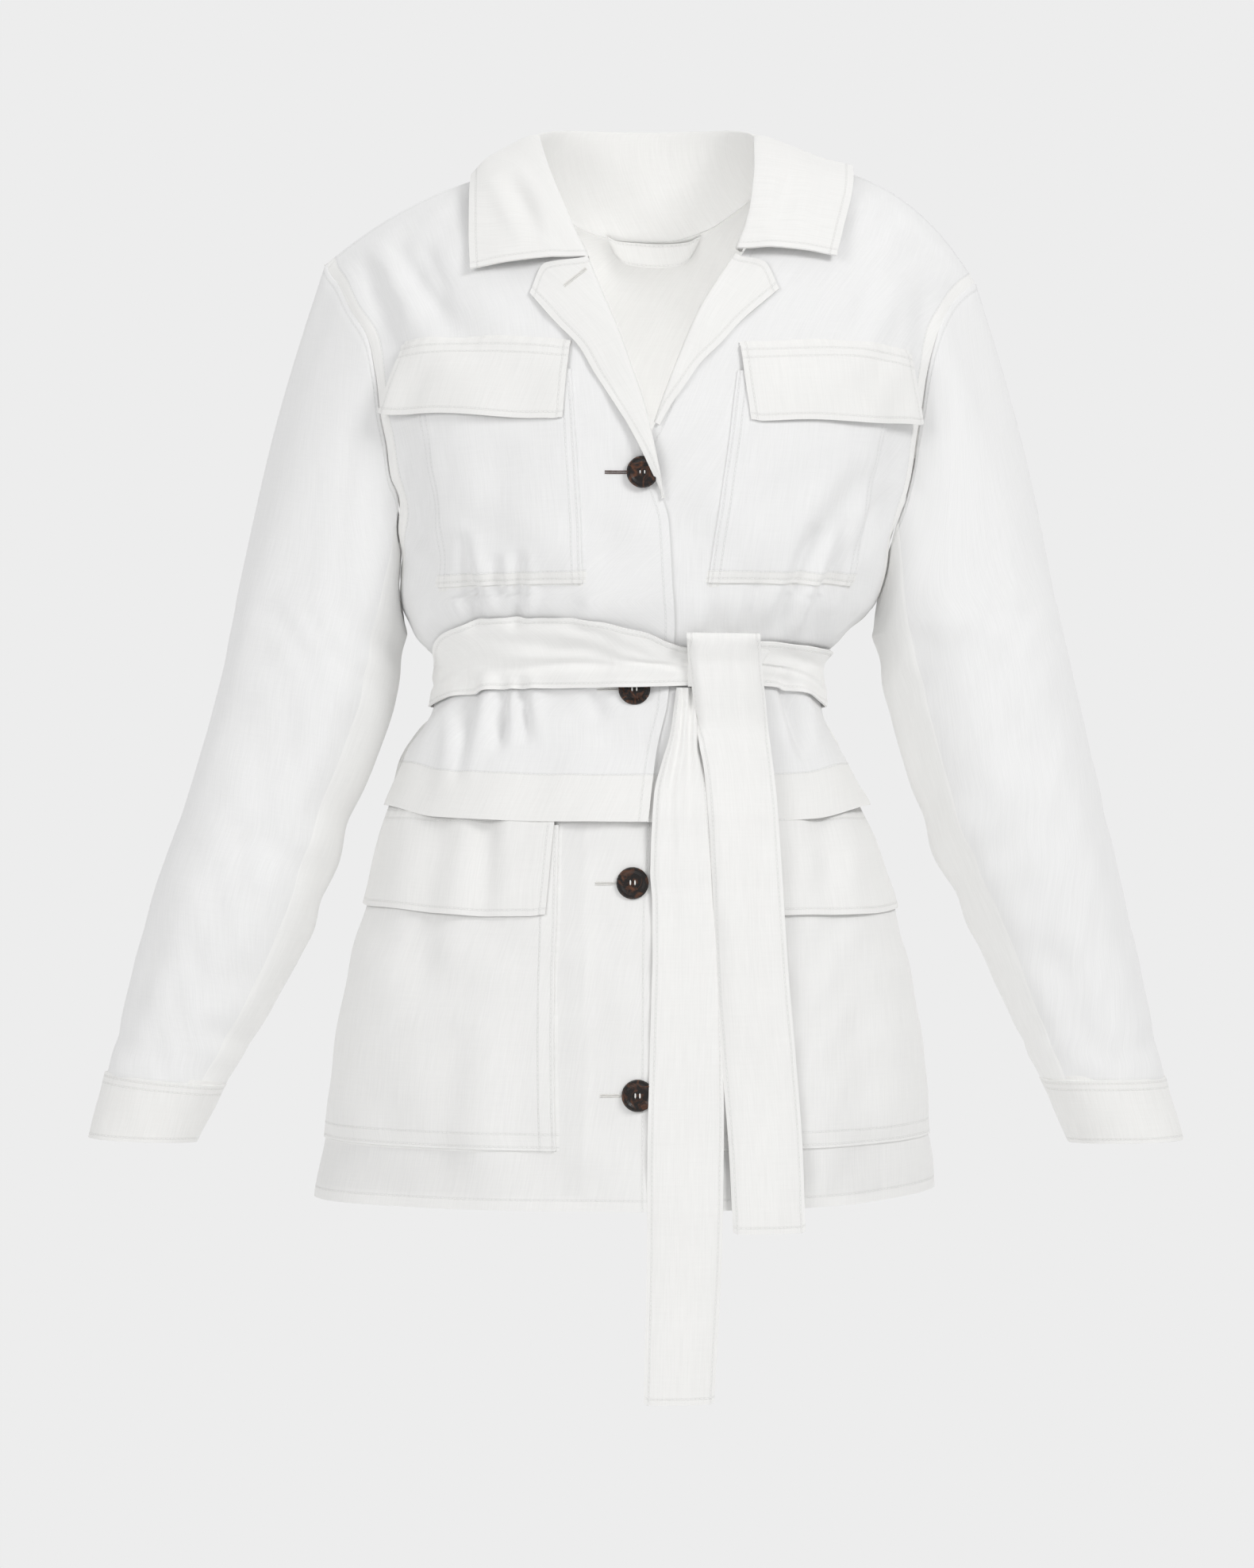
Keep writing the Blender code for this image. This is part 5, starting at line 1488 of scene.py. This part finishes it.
def make_collar(panels, back):
    """The collar with its soft fold, rolled edge and pressed points."""
    right = collar_strip("right", COLLAR_RIGHT, panels["bodice_right"], back)
    left = collar_strip("left", COLLAR_LEFT, panels["bodice_left"], back)
    points = np.concatenate([right, left[:, -2::-1]], axis=1)
    points = resample(points, COLLAR_ROWS, COLLAR_COLUMNS)
    down = np.arange(COLLAR_ROWS)
    across = np.linspace(0, 1, COLLAR_COLUMNS)[None, :]
    fall = smooth_step(34, 22, down)[:, None]
    wave = 0.9 * np.sin(across * 31.0 + 2.0) + 0.6 * np.sin(across * 53.0)
    pressed = np.where(points[..., 1] < 20, folds_relief(points, COLLAR_FOLDS), 0.0)
    out = fall * smooth_step(0, 12, down)[:, None] * wave + pressed * fall
    points = points + grid_normals(points) * out[..., None]
    material = linen("linen_collar", WARM, (("low", 5.0), ("first", 4.5), ("last", 4.5)))
    cloth("collar", points, grid_normals(points), COLLAR_WALL, material,
          tucks=("top",))


# Fineness of the lapels
LAPEL_ROWS = 90
LAPEL_COLUMNS = 30


def make_lapel(side, stations, notch):
    """A lapel, folded back over its front."""
    sections = []
    for station in reversed(stations):
        roll, edge = np.array(station["roll"], float), np.array(station["edge"], float)
        mid = np.array(notch, float) if station is stations[0] else mix(edge, roll, 0.4)
        room = station["room"]
        back = unit(edge - roll)
        turn = min(LAPEL_TURN, 0.4 * np.linalg.norm(edge - roll))
        across = ((edge, room), (mid, room + 0.5), (roll + back * turn, room + 0.6),
                  (roll + back * 0.6, room - 0.2), (roll, room - 1.5),
                  (roll, room - station["leg"]))
        found = [face(BODICE, *row_at(BODICE, *spot), out=out, raised=side == "left")[0]
                 for spot, out in across]
        sections.append(np.stack(found))
    points = np.stack(sections)
    if side == "right":
        points = points[:, ::-1]
    points = resample(points, LAPEL_ROWS, LAPEL_COLUMNS)
    seams = on_side(side, (("outer", 4.5), ("top", 4.5)))
    cloth(f"lapel_{side}", points, grid_normals(points), LAPEL_WALL,
          linen(f"linen_lapel_{side}", WARM, seams))


# How far pockets and flaps stand off their panel, their thickness as a share of the
# cloth's, and a flap's columns, rows and stitches
POCKET_OUT = 1.7
FLAP_OUT = 3.1
PATCH_SHARE = 0.8
FLAP_GRID = (60, 30)
FLAP_SEAMS = (("top", 3.5), ("top", 9.0), ("low", 4.0), ("first", 4.0), ("last", 4.0))

# What differs between the chest's pockets and the skirt's. A flap stands out by a share of
# the bulge, reaches under the hem above by its tuck, and lifts at its outer corner.
POCKETS = {
    "chest": {
        "layer": "bodice", "slot": "linen", "pocket": CHEST_POCKETS, "flap": CHEST_FLAPS,
        "bulge": CHEST_BULGE, "grid": (54, 60), "white": COOL, "band_white": WARM,
        "seams": (("inner", 2.0), ("outer", 2.0), ("low", 3.0), ("inner", 6.5),
                  ("outer", 6.5), ("low", 8.0)),
        "bands": (("low", 8.0),),
        "flap_white": WARM, "flap_share": 0.9, "flap_tuck": 0.0, "corner_lift": 5.0,
    },
    "skirt": {
        "layer": "skirt", "slot": "thin_linen", "pocket": SKIRT_POCKETS, "flap": SKIRT_FLAPS,
        "bulge": SKIRT_BULGE, "grid": (66, 78), "white": THIN, "band_white": THIN_BAND,
        "seams": (("inner", 2.0), ("inner", 10.5), ("outer", 3.0), ("low", 2.0),
                  ("low", 10.5)),
        "bands": (("low", 10.5), ("inner", 10.5)),
        "flap_white": THIN_FLAP, "flap_share": 0.7, "flap_tuck": 8.0, "corner_lift": 0.0,
    },
}


def faded_ends(share, reach):
    """1 along a run from 0 to 1, falling softly to 0 over a reach at both ends."""
    return smooth_step(0.0, reach, share) * smooth_step(1.0, 1.0 - reach, share)


def make_pocket(side, name, kind, panel, seed):
    """A patch pocket with stitched edges, which stands out most below its middle."""
    row, turn, along, up = patch(panel, kind["pocket"][side], *kind["grid"])
    soft = sag(along, 1 - up) * kind["bulge"] * (1 + 0.25 * np.sin(along * 7.0 + seed))
    pucker = 0.25 * np.sin(along * 61.0 + seed) * smooth_step(0.12, 0.03, up)
    edge = faded_ends(along, 0.05) * smooth_step(0.0, 0.05, up)
    points, normals = panel.at(row, turn, POCKET_OUT + (soft + pucker) * edge)
    seams, bands = on_side(side, kind["seams"]), on_side(side, kind["bands"])
    material = linen(f"linen_{name}_pocket_{side}", kind["white"], seams, bands, kind["band_white"])
    cloth(f"{name}_pocket_{side}", points, normals, SKIN * PATCH_SHARE, material,
          tucks=("first", "last", "low"), reaches=LAPPED)


def make_flap(side, name, kind, panel, seed):
    """A pocket's flap, with a soft, uneven low edge."""
    corners = kind["flap"][side]
    high = [(x, z + kind["flap_tuck"]) for x, z in corners[:2]]
    row, turn, along, up = patch(panel, (*high, *corners[2:]), *FLAP_GRID)
    lift = np.sin(np.pi * np.clip(along * 0.9 + 0.05, 0.0, 1.0)) ** 0.8 * (1 - up)
    wave = 0.8 * np.sin(along * 10.0 + seed) + 0.5 * np.sin(along * 19.0 + 2 * seed)
    pucker = 0.3 * np.sin(along * 70.0 + seed) * smooth_step(0.8, 0.95, up)
    end = faded_ends(along, 0.06)
    outer = 1.0 - along if side == "left" else along
    corner = kind["corner_lift"] * (1 - up) * smooth_step(0.75, 1.0, outer)
    waves = (wave * 0.6 + 0.6) * (1 - up) * end + pucker * end
    out = FLAP_OUT + kind["bulge"] * kind["flap_share"] * lift + waves + corner
    points = panel.at(row, turn, out)[0]
    droop = 1.2 * np.sin(np.pi * along) + 0.7 * np.sin(along * 9.0 + seed)
    rounded = smooth_step(0.05, 0.0, along) + smooth_step(0.95, 1.0, along)
    points[..., 2] -= droop * (1 - up) * faded_ends(along, 0.15)
    points[..., 2] += 1.4 * smooth_step(0.12, 0.0, up) * rounded
    cloth(f"{name}_flap_{side}", points, grid_normals(points), DOUBLE * PATCH_SHARE,
          linen(f"linen_{name}_flap_{side}", kind["flap_white"], FLAP_SEAMS),
          tucks=("top",), reaches=LAPPED)


BELT_FOLDS = (
    # turn, height share, slope per degree, length, depth, half width as a share
    (-22.0, 0.34, 0.0034, 34.0, 1.8, 0.085),
    (-20.0, 0.64, -0.0034, 30.0, 1.7, 0.085),
    (-8.0, 0.80, -0.0110, 14.0, 1.2, 0.07),
    (0.0, 0.50, -0.0020, 14.0, 0.9, 0.06),
    (-60.0, 0.50, 0.0016, 30.0, 0.9, 0.10),
    (66.0, 0.70, -0.0040, 22.0, 1.0, 0.09),
    (60.0, 0.16, -0.0030, 18.0, 0.9, 0.07),
    (112.0, 0.55, 0.0030, 30.0, 1.6, 0.10),
    (152.0, 0.38, -0.0030, 34.0, 1.8, 0.11),
    (-160.0, 0.62, 0.0030, 32.0, 1.6, 0.11),
    (-118.0, 0.40, 0.0035, 30.0, 1.7, 0.10),
)

# The layer of the belt that laps over: its middle, length, height share, slope and depth
LAP_TURN = 58.0
LAP_LENGTH = 26.0
LAP_SHARE = 0.42
LAP_SLOPE = -0.0065
LAP_DEPTH = 1.7

# Fineness of the belt, its crown, and its stretches painted lighter against the shade they lie in
BELT_ROWS = 30
BELT_COLUMNS = 300
BELT_CROWN = 0.8
BELT_PAINTED_LIGHT = (
    # turn, reach, how much darker: below 0, painted light
    (72.0, 28.0, -0.05),
    (-52.0, 34.0, -0.03),
)


def belt_relief(turn, up, row):
    """Long creases of the tied belt, the layer that laps over, and small rumples."""
    relief = np.zeros(row.shape)
    for around, share, slope, length, depth, width in BELT_FOLDS:
        aside = wrapped(turn - around)
        away = (up - share - slope * aside) / width
        end = np.exp(-(aside / length) ** 4)
        relief -= 0.8 * depth * end * np.exp(-away ** 2)
        relief += 0.45 * depth * end * np.exp(-((np.abs(away) - 1.9) / 1.0) ** 2)
    aside = turn - LAP_TURN
    away = up - LAP_SHARE - LAP_SLOPE * aside
    lap = np.exp(-(aside / LAP_LENGTH) ** 4) * smooth_step(-0.02, 0.03, away)
    relief += LAP_DEPTH * lap * np.exp(-np.clip(away, 0, 1) * 2.2)
    return relief + 0.35 * rumple(turn * 2.1, row * 2.0, 4.2)


def make_band():
    """The belt round the waist."""
    turn = np.arange(BELT_COLUMNS) * 360.0 / BELT_COLUMNS - 180.0
    up = np.linspace(0.0, 1.0, BELT_ROWS)[:, None]
    row = mix(BELT.at("low", turn), BELT.at("top", turn), up)
    turn = np.broadcast_to(turn, row.shape)
    relief = belt_relief(turn, up, row) * mix(0.3, 1.0, faded_ends(up, 0.08))
    out = belt_out(turn) + BELT_CROWN * np.sin(np.pi * up) + relief + 0.4
    points, normals = face(BODICE, row, turn, out=out)
    # Painted light on the band where it lies in shade
    painted_shading = sum(dark * np.exp(-((turn - middle) / reach) ** 4) for middle, reach, dark in BELT_PAINTED_LIGHT)
    material = linen("linen_belt", BELT_WHITE, (("low", 3.0), ("top", 3.0)))
    cloth("belt_band", points, normals, THICK, material, closed=True,
          painted_shading=np.concatenate([painted_shading, painted_shading[:, :1]], axis=1))


KNOT_SIZE = 40


def make_knot():
    """The knot, a bunched piece that isn't one flat sheet."""
    turn = np.linspace(*KNOT_TURNS, KNOT_SIZE)
    across = np.linspace(0.0, 1.0, KNOT_SIZE)
    up = across[:, None]
    row = mix(KNOT_LOW, KNOT_TOP, up) + 0 * turn
    turn = np.broadcast_to(turn, row.shape)
    rise = (np.sin(np.pi * across) * np.sin(np.pi * up)) ** 0.6
    thick = KNOT_EDGE + KNOT_RISE * rise + 0.6 * np.sin(across * 14.0 + up * 5.0) * rise
    points, normals = face(BODICE, row, turn, out=belt_out(turn) + 1.3 + thick)
    knot = cloth("belt_knot", points, normals, thick[..., None],
                 linen("linen_knot", BELT_WHITE))
    SHEETS.pop(knot.name)


# Fineness and stitches of the belt's ends, where their edges start to turn back, and the
# height of the button beneath
TAIL_ROWS = 200
TAIL_COLUMNS = 40
TAIL_SEAMS = (("first", 3.0), ("last", 3.0), ("low", 4.0))
CURL_ROWS = (-395.0, -430.0)
LOW_BUTTON_ROW = -634.0


def make_tail(side, stations, seed):
    """One hanging end of the belt, with stitched edges and soft long folds."""
    across = np.linspace(-1.0, 1.0, TAIL_COLUMNS)
    to_left, to_right = np.clip(-across, 0.0, 1.0), np.clip(across, 0.0, 1.0)
    read = {key: np.array([row[key] for row in stations], float) for key in stations[0]}
    spine = np.stack([read["x"], read["z"], read["room"]], axis=-1)
    step = np.concatenate([[0.0], np.cumsum(np.linalg.norm(np.diff(spine, axis=0), axis=1))])
    want = np.linspace(0.0, step[-1], TAIL_ROWS)
    fine = {key: smooth_read(step, values, want)[:, None] for key, values in read.items()}
    share = (want / step[-1])[:, None]
    x, z = fine["x"] + fine["half"] * across, fine["z"] + 0 * across
    over_hem = smooth_step(-530.0, -500.0, z)
    high = smooth_step(-700.0, -420.0, z)
    if side == "right":
        x = x + mix(-0.5, 1.5, high) * smooth_step(-380.0, -420.0, z) * to_left
        closer = 3.0 * smooth_step(-560.0, -640.0, z)
        rest = 3.4 + 2.6 * over_hem + 3.0 * to_right
        curl = to_left ** 4
        pleats = np.exp(-((across + 0.55) / 0.13) ** 2) + 0.7 * np.exp(-((across - 0.2) / 0.12) ** 2)
        pleats = 1.3 * pleats
    else:
        x = x + mix(1.6, 3.6, high) * smooth_step(-390.0, -420.0, z) * to_right
        x = x - 1.5 * smooth_step(-390.0, -410.0, z) * smooth_step(-500.0, -480.0, z) * to_left
        closer = 2.2 * smooth_step(-470.0, -560.0, z)
        button = 1.8 * np.exp(-((z - LOW_BUTTON_ROW) / 15.0) ** 2)
        rest = np.where(across < 0, 4.7 + button, 3.0 + 2.4 * over_hem)
        curl = np.abs(across) ** 4
        pleats = -1.44 * np.cos(across * 3.0 * np.pi + 0.6)
    front = drape_front(x, z)
    wave = 0.9 * np.sin(across * 3.2 + share * 5.0 + seed) + 0.5 * np.sin(across * 6.0 - share * 8.0)
    y = front - fine["room"] + closer + smooth_step(0.55, 0.95, share) * pleats
    y = y - (wave * 0.7 + 0.4) * smooth_step(0.85, 0.55, share) - 0.3 * rumple(x, z, seed)
    y = mix(y, front - rest, curl * smooth_step(*CURL_ROWS, z))
    if side == "right":
        drawn = smooth_step(-400.0, -380.0, z) * smooth_step(-326.0, -336.0, z)
        over = smooth_step(7.0, 0.0, step[-1] - want)[:, None]
        y = y + (4.5 * across ** 4 + 5.0 * to_left ** 8) * drawn + 5.0 * over ** 2
        z = z - 2.0 * over - 1.6 * over * np.abs(across) ** 4
    corner = smooth_step(1.6, 0.0, np.arange(TAIL_ROWS))[:, None] * smooth_step(0.9, 1.0, np.abs(across))
    points = np.stack([x, y, z + corner * 1.2], axis=-1)
    cloth(f"belt_tail_{side}", points, grid_normals(points), THICK,
          linen(f"linen_belt_tail_{side}", BELT_WHITE, TAIL_SEAMS))


# Hanger loop: the x of its middle, its lower edge's share of the width, its drop, its edges,
# its rows and columns, and its distance from the back's inside
LOOP_MIDDLE = 5.0
LOOP_TAPER = 0.70
LOOP_DROP = 2.5
LOOP_EDGES = (-1.0, 1.65)
LOOP_GRID = (14, 60)
LOOP_STAND = 1.2


def make_loop():
    """The hanger loop inside the back of the neck."""
    rows, columns = LOOP_GRID
    step = np.linspace(0.0, 1.0, columns)
    x, z = LOOP.at("x", step), LOOP.at("z", step)
    run = unit(np.stack([np.gradient(x), np.gradient(z)], axis=-1))
    up = np.linspace(*LOOP_EDGES, rows)[:, None]
    down = (up[-1] - up) / (up[-1] - up[0])
    taper = mix(1.0, LOOP_TAPER, down)
    wide_x = LOOP_MIDDLE + (x - run[:, 1] * LOOP_HALF * up - LOOP_MIDDLE) * taper
    wide_z = z + run[:, 0] * LOOP_HALF * up - LOOP_DROP
    turn = 180.0 - turn_at(BODICE, wide_z, wide_x)
    bow = 0.55 * LOOP_BOW * np.sin(np.pi * step) ** 0.7 * down ** 0.7
    points = face(BODICE, wide_z, turn, out=-(WALL + WALL + LOOP_STAND + bow))[0]
    cloth("hanger_loop", points, grid_normals(points), WALL,
          linen("linen_loop", WARM, (("low", 1.5), ("top", 1.5))))


def horn():
    """Dark polished horn with brown streaks."""
    material, tree, shader = new_material("horn", 0.26)
    shader.inputs["Specular IOR Level"].default_value = 0.5
    place = tree.nodes.new("ShaderNodeTexCoord")
    noise = tree.nodes.new("ShaderNodeTexNoise")
    noise.inputs["Scale"].default_value = 90.0
    noise.inputs["Detail"].default_value = 4.0
    noise.inputs["Distortion"].default_value = 2.5
    tree.links.new(place.outputs["Object"], noise.inputs["Vector"])
    ramp = tree.nodes.new("ShaderNodeValToRGB")
    streaks = ((0.50, (0.012, 0.009, 0.008, 1.0)), (0.72, (0.13, 0.050, 0.024, 1.0)))
    for element, (position, colour) in zip(ramp.color_ramp.elements, streaks):
        element.position = position
        element.color = colour
    tree.links.new(noise.outputs["Fac"], ramp.inputs["Fac"])
    tree.links.new(ramp.outputs["Color"], shader.inputs["Base Color"])
    return material


def plain(name, colour, roughness):
    """One even colour, for threads and the floor."""
    material, _, shader = new_material(name, roughness)
    shader.inputs["Base Color"].default_value = (*colour, 1.0)
    return material


# Sides of a round thread, and the size of its two ends
TUBE_SIDES = 6
TUBE_END = 0.45


def add_threads(name, paths, radius, material):
    """One mesh of short round threads, each along its own few points."""
    verts, faces = [], []
    for path in paths:
        path = np.array(path, float)
        direction = unit(np.gradient(path, axis=0))
        helper = (0.0, 1.0, 0.0) if abs(direction[0][1]) < 0.9 else (1.0, 0.0, 0.0)
        first = unit(np.cross(direction, helper))
        second = np.cross(direction, first)
        start = len(verts)
        last = start + (len(path) - 1) * TUBE_SIDES
        for i, centre in enumerate(path):
            size = radius * (TUBE_END if i in (0, len(path) - 1) else 1.0)
            for k in range(TUBE_SIDES):
                angle = 2 * math.pi * k / TUBE_SIDES
                spot = centre + (first[i] * math.cos(angle) + second[i] * math.sin(angle)) * size
                verts.append(tuple(spot * MM))
        for low in range(start, last, TUBE_SIDES):
            for k in range(TUBE_SIDES):
                a, b = low + k, low + (k + 1) % TUBE_SIDES
                faces.append((a, b, b + TUBE_SIDES, a + TUBE_SIDES))
        faces.append(tuple(start + k for k in reversed(range(TUBE_SIDES))))
        faces.append(tuple(last + k for k in range(TUBE_SIDES)))
    mesh = bpy.data.meshes.new(name)
    mesh.from_pydata(verts, [], faces)
    mesh.polygons.foreach_set("use_smooth", np.ones(len(mesh.polygons), bool))
    add_piece(name, mesh, material)


# Buttonholes: how far from the button's middle they start, their length, the threads on
# each side, how far these stand out, and their reach from the slit's middle
HOLE_START = 9.0
HOLE_LENGTH = 15.0
HOLE_THREADS = 26
HOLE_OUT = 0.25
HOLE_RISE = 0.3
HOLE_INNER = 0.15
HOLE_REACH = 1.15
LAPEL_HOLE = ((-54.6, -94.7), (-40.5, -83.2))
LAPEL_HOLE_REACH = 1.1

# Threads of a button: their distance from its middle, and places up and out along them
CROSS_ASIDE = 1.5
CROSS = ((1.6, 1.9), (1.0, 2.9), (0.0, 3.1), (-1.0, 2.9), (-1.6, 1.9))


def in_front(obj, x, z, out):
    """The place out from a piece's front side at x and z."""
    start = Vector((x * MM, -1.0, z * MM))
    hit, place, _, _ = obj.ray_cast(start, Vector((0.0, 1.0, 0.0)))
    if not hit:
        raise ValueError(f"{obj.name} isn't at {x}, {z}")
    return np.array(place) / MM - np.array([0.0, out, 0.0])


def slit_threads(start, end, reach, spot):
    """Threads on both sides of a slit, laid on a piece by spot, a function of x, z and out."""
    start, end = np.array(start), np.array(end)
    run = unit(end - start)
    aside = np.array([-run[1], run[0]]) * np.sign(run[0])
    threads = []
    for share in np.linspace(0.0, 1.0, HOLE_THREADS):
        middle = mix(start, end, share)
        for low, high in ((HOLE_INNER, reach), (-reach, -HOLE_INNER)):
            along = ((low, HOLE_OUT), ((low + high) / 2, HOLE_OUT + HOLE_RISE), (high, HOLE_OUT))
            threads.append([spot(*(middle + aside * away), out) for away, out in along])
    return threads


def make_buttons(frame, panels):
    """Finish the buttons, with their threads and buttonholes."""
    material = horn()
    thread = plain("thread_white", (0.90, 0.89, 0.86), 0.7)
    dark = plain("thread_dark", (0.10, 0.05, 0.035), 0.6)
    crosses, slits = [], []
    for number, button in enumerate(BUTTONS, start=1):
        node = frame["nodes"][f"button_{number}"]
        node.data.materials.clear()
        node.data.materials.append(material)
        panel = panels[f"{button['layer']}_left"]
        x, z = button["x"], button["z"]
        centre, normal = panel.place(x, z, button["room"])
        side = unit(np.cross(normal, np.array([0.0, 0.0, -1.0])))
        top = np.cross(side, normal)
        for offset in (-CROSS_ASIDE, CROSS_ASIDE):
            foot = centre + side * offset
            crosses.append([foot + top * up + normal * out for up, out in CROSS])
        start, end = (x - HOLE_START, z), (x - HOLE_START - HOLE_LENGTH, z)
        slits.append(slit_threads(start, end, HOLE_REACH, lambda *spot: panel.place(*spot)[0]))
    lapel = bpy.data.objects["cloth_lapel_left"]
    slits.append(slit_threads(*LAPEL_HOLE, LAPEL_HOLE_REACH, lambda *spot: in_front(lapel, *spot)))
    add_threads("button_threads", crosses, 0.5, thread)
    add_threads("buttonholes", sum(slits[1:], []), 0.32, thread)
    add_threads("buttonhole_top", slits[0], 0.30, dark)


# Studio: the camera, how light the surround is behind the jacket and behind the camera,
# and the lights
LENS = 101.3
SENSOR_HEIGHT = 36.0
EYE = (-0.0135, -3.0, -0.42255)
SURROUND_TURN = (-0.7, 0.8)
SURROUND_NEAR = 0.45
SURROUND_FAR = 0.847
FLOOR_RADIUS = 2.2
FLOOR_HEIGHT = -1.45
FLOOR_SIDES = 96
JACKET_MIDDLE = (0.0, 0.0, -0.42)
LIGHTS = named_rows(
    "name place size power target",
    ("key", (1.9, -2.3, 1.5), (1.1, 1.1), 43.0, JACKET_MIDDLE),
    ("fill", (-2.0, -2.5, 0.6), (1.3, 1.3), 24.3, JACKET_MIDDLE),
    ("top", (0.2, 0.4, 2.2), (2.0, 2.0), 4.5, JACKET_MIDDLE),
    ("low", (0.0, -2.4, -1.35), (1.4, 0.5), 3.5, JACKET_MIDDLE),
    ("inner", (0.0, 0.0, -0.165), (0.11, 0.20), 0.125, (0.0, 0.1, -0.15)),
)


def make_camera(scene):
    """The camera at the photo's angle, level with the jacket's middle."""
    camera = bpy.data.cameras.new("camera")
    camera.lens = LENS
    camera.sensor_fit = "VERTICAL"
    camera.sensor_height = SENSOR_HEIGHT
    eye = bpy.data.objects.new("camera", camera)
    eye.location = EYE
    eye.rotation_euler = (math.radians(90.0), 0.0, 0.0)
    scene.collection.objects.link(eye)
    scene.camera = eye


def make_surround(scene):
    """A pale surround, darker on the camera's side."""
    world = bpy.data.worlds.new("studio")
    world.use_nodes = True
    tree = world.node_tree
    direction = tree.nodes.new("ShaderNodeTexCoord")
    split = tree.nodes.new("ShaderNodeSeparateXYZ")
    tree.links.new(direction.outputs["Generated"], split.inputs[0])
    shade = node_ramp(tree, split.outputs["Y"], *SURROUND_TURN, SURROUND_NEAR, SURROUND_FAR)
    tree.links.new(shade, tree.nodes["Background"].inputs["Strength"])
    tree.nodes["Background"].inputs["Color"].default_value = (1.0, 1.0, 1.0, 1.0)
    scene.world = world
    scene.view_settings.view_transform = "Standard"
    scene.view_settings.look = "None"


def make_floor(scene):
    """A plain pale floor below the belt's ends."""
    mesh = bpy.data.meshes.new("floor")
    rim = [(FLOOR_RADIUS * math.cos(angle), FLOOR_RADIUS * math.sin(angle), FLOOR_HEIGHT)
           for angle in np.linspace(0, 2 * math.pi, FLOOR_SIDES, endpoint=False)]
    mesh.from_pydata(rim, [], [tuple(range(FLOOR_SIDES))])
    mesh.materials.append(plain("floor", (0.85, 0.85, 0.85), 0.9))
    floor = bpy.data.objects.new("floor", mesh)
    scene.collection.objects.link(floor)


def add_light(name, place, size, power, target):
    """A soft square light that points at a target and doesn't show itself."""
    light = bpy.data.lights.new(name, "AREA")
    light.shape = "RECTANGLE"
    light.size, light.size_y = size
    light.energy = power
    obj = bpy.data.objects.new(name, light)
    obj.location = place
    obj.visible_camera = False
    direction = Vector(target) - Vector(place)
    obj.rotation_euler = direction.to_track_quat("-Z", "Y").to_euler()
    bpy.context.scene.collection.objects.link(obj)


def make_jacket(frame):
    """All pieces of the jacket, in the order in which they are sewn."""
    panels = front_panels()
    for side in ("left", "right"):
        make_upper_front(side, panels[f"bodice_{side}"])
        make_lower_front(side, panels[f"skirt_{side}"])
    back = make_upper_back()
    make_lower_back()
    make_sleeve("left", SLEEVE_LEFT, 0.4)
    make_sleeve("right", SLEEVE_RIGHT, 1.7)
    make_collar(panels, back)
    make_lapel("left", LAPEL_LEFT + LAPEL_FOOT, NOTCH_LEFT)
    make_lapel("right", LAPEL_RIGHT, NOTCH_RIGHT)
    for side, seed in (("left", 1.0), ("right", 2.2)):
        for make in (make_pocket, make_flap):
            for name, kind in POCKETS.items():
                make(side, name, kind, panels[f"{kind['layer']}_{side}"], seed)
    make_band()
    make_knot()
    make_tail("right", TAIL_RIGHT, 0.6)
    make_tail("left", TAIL_LEFT, 1.9)
    make_loop()
    make_buttons(frame, panels)


def main():
    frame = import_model()
    make_jacket(frame)
    scene = bpy.context.scene
    make_camera(scene)
    make_surround(scene)
    make_floor(scene)
    for light in LIGHTS:
        add_light(**light)


main()
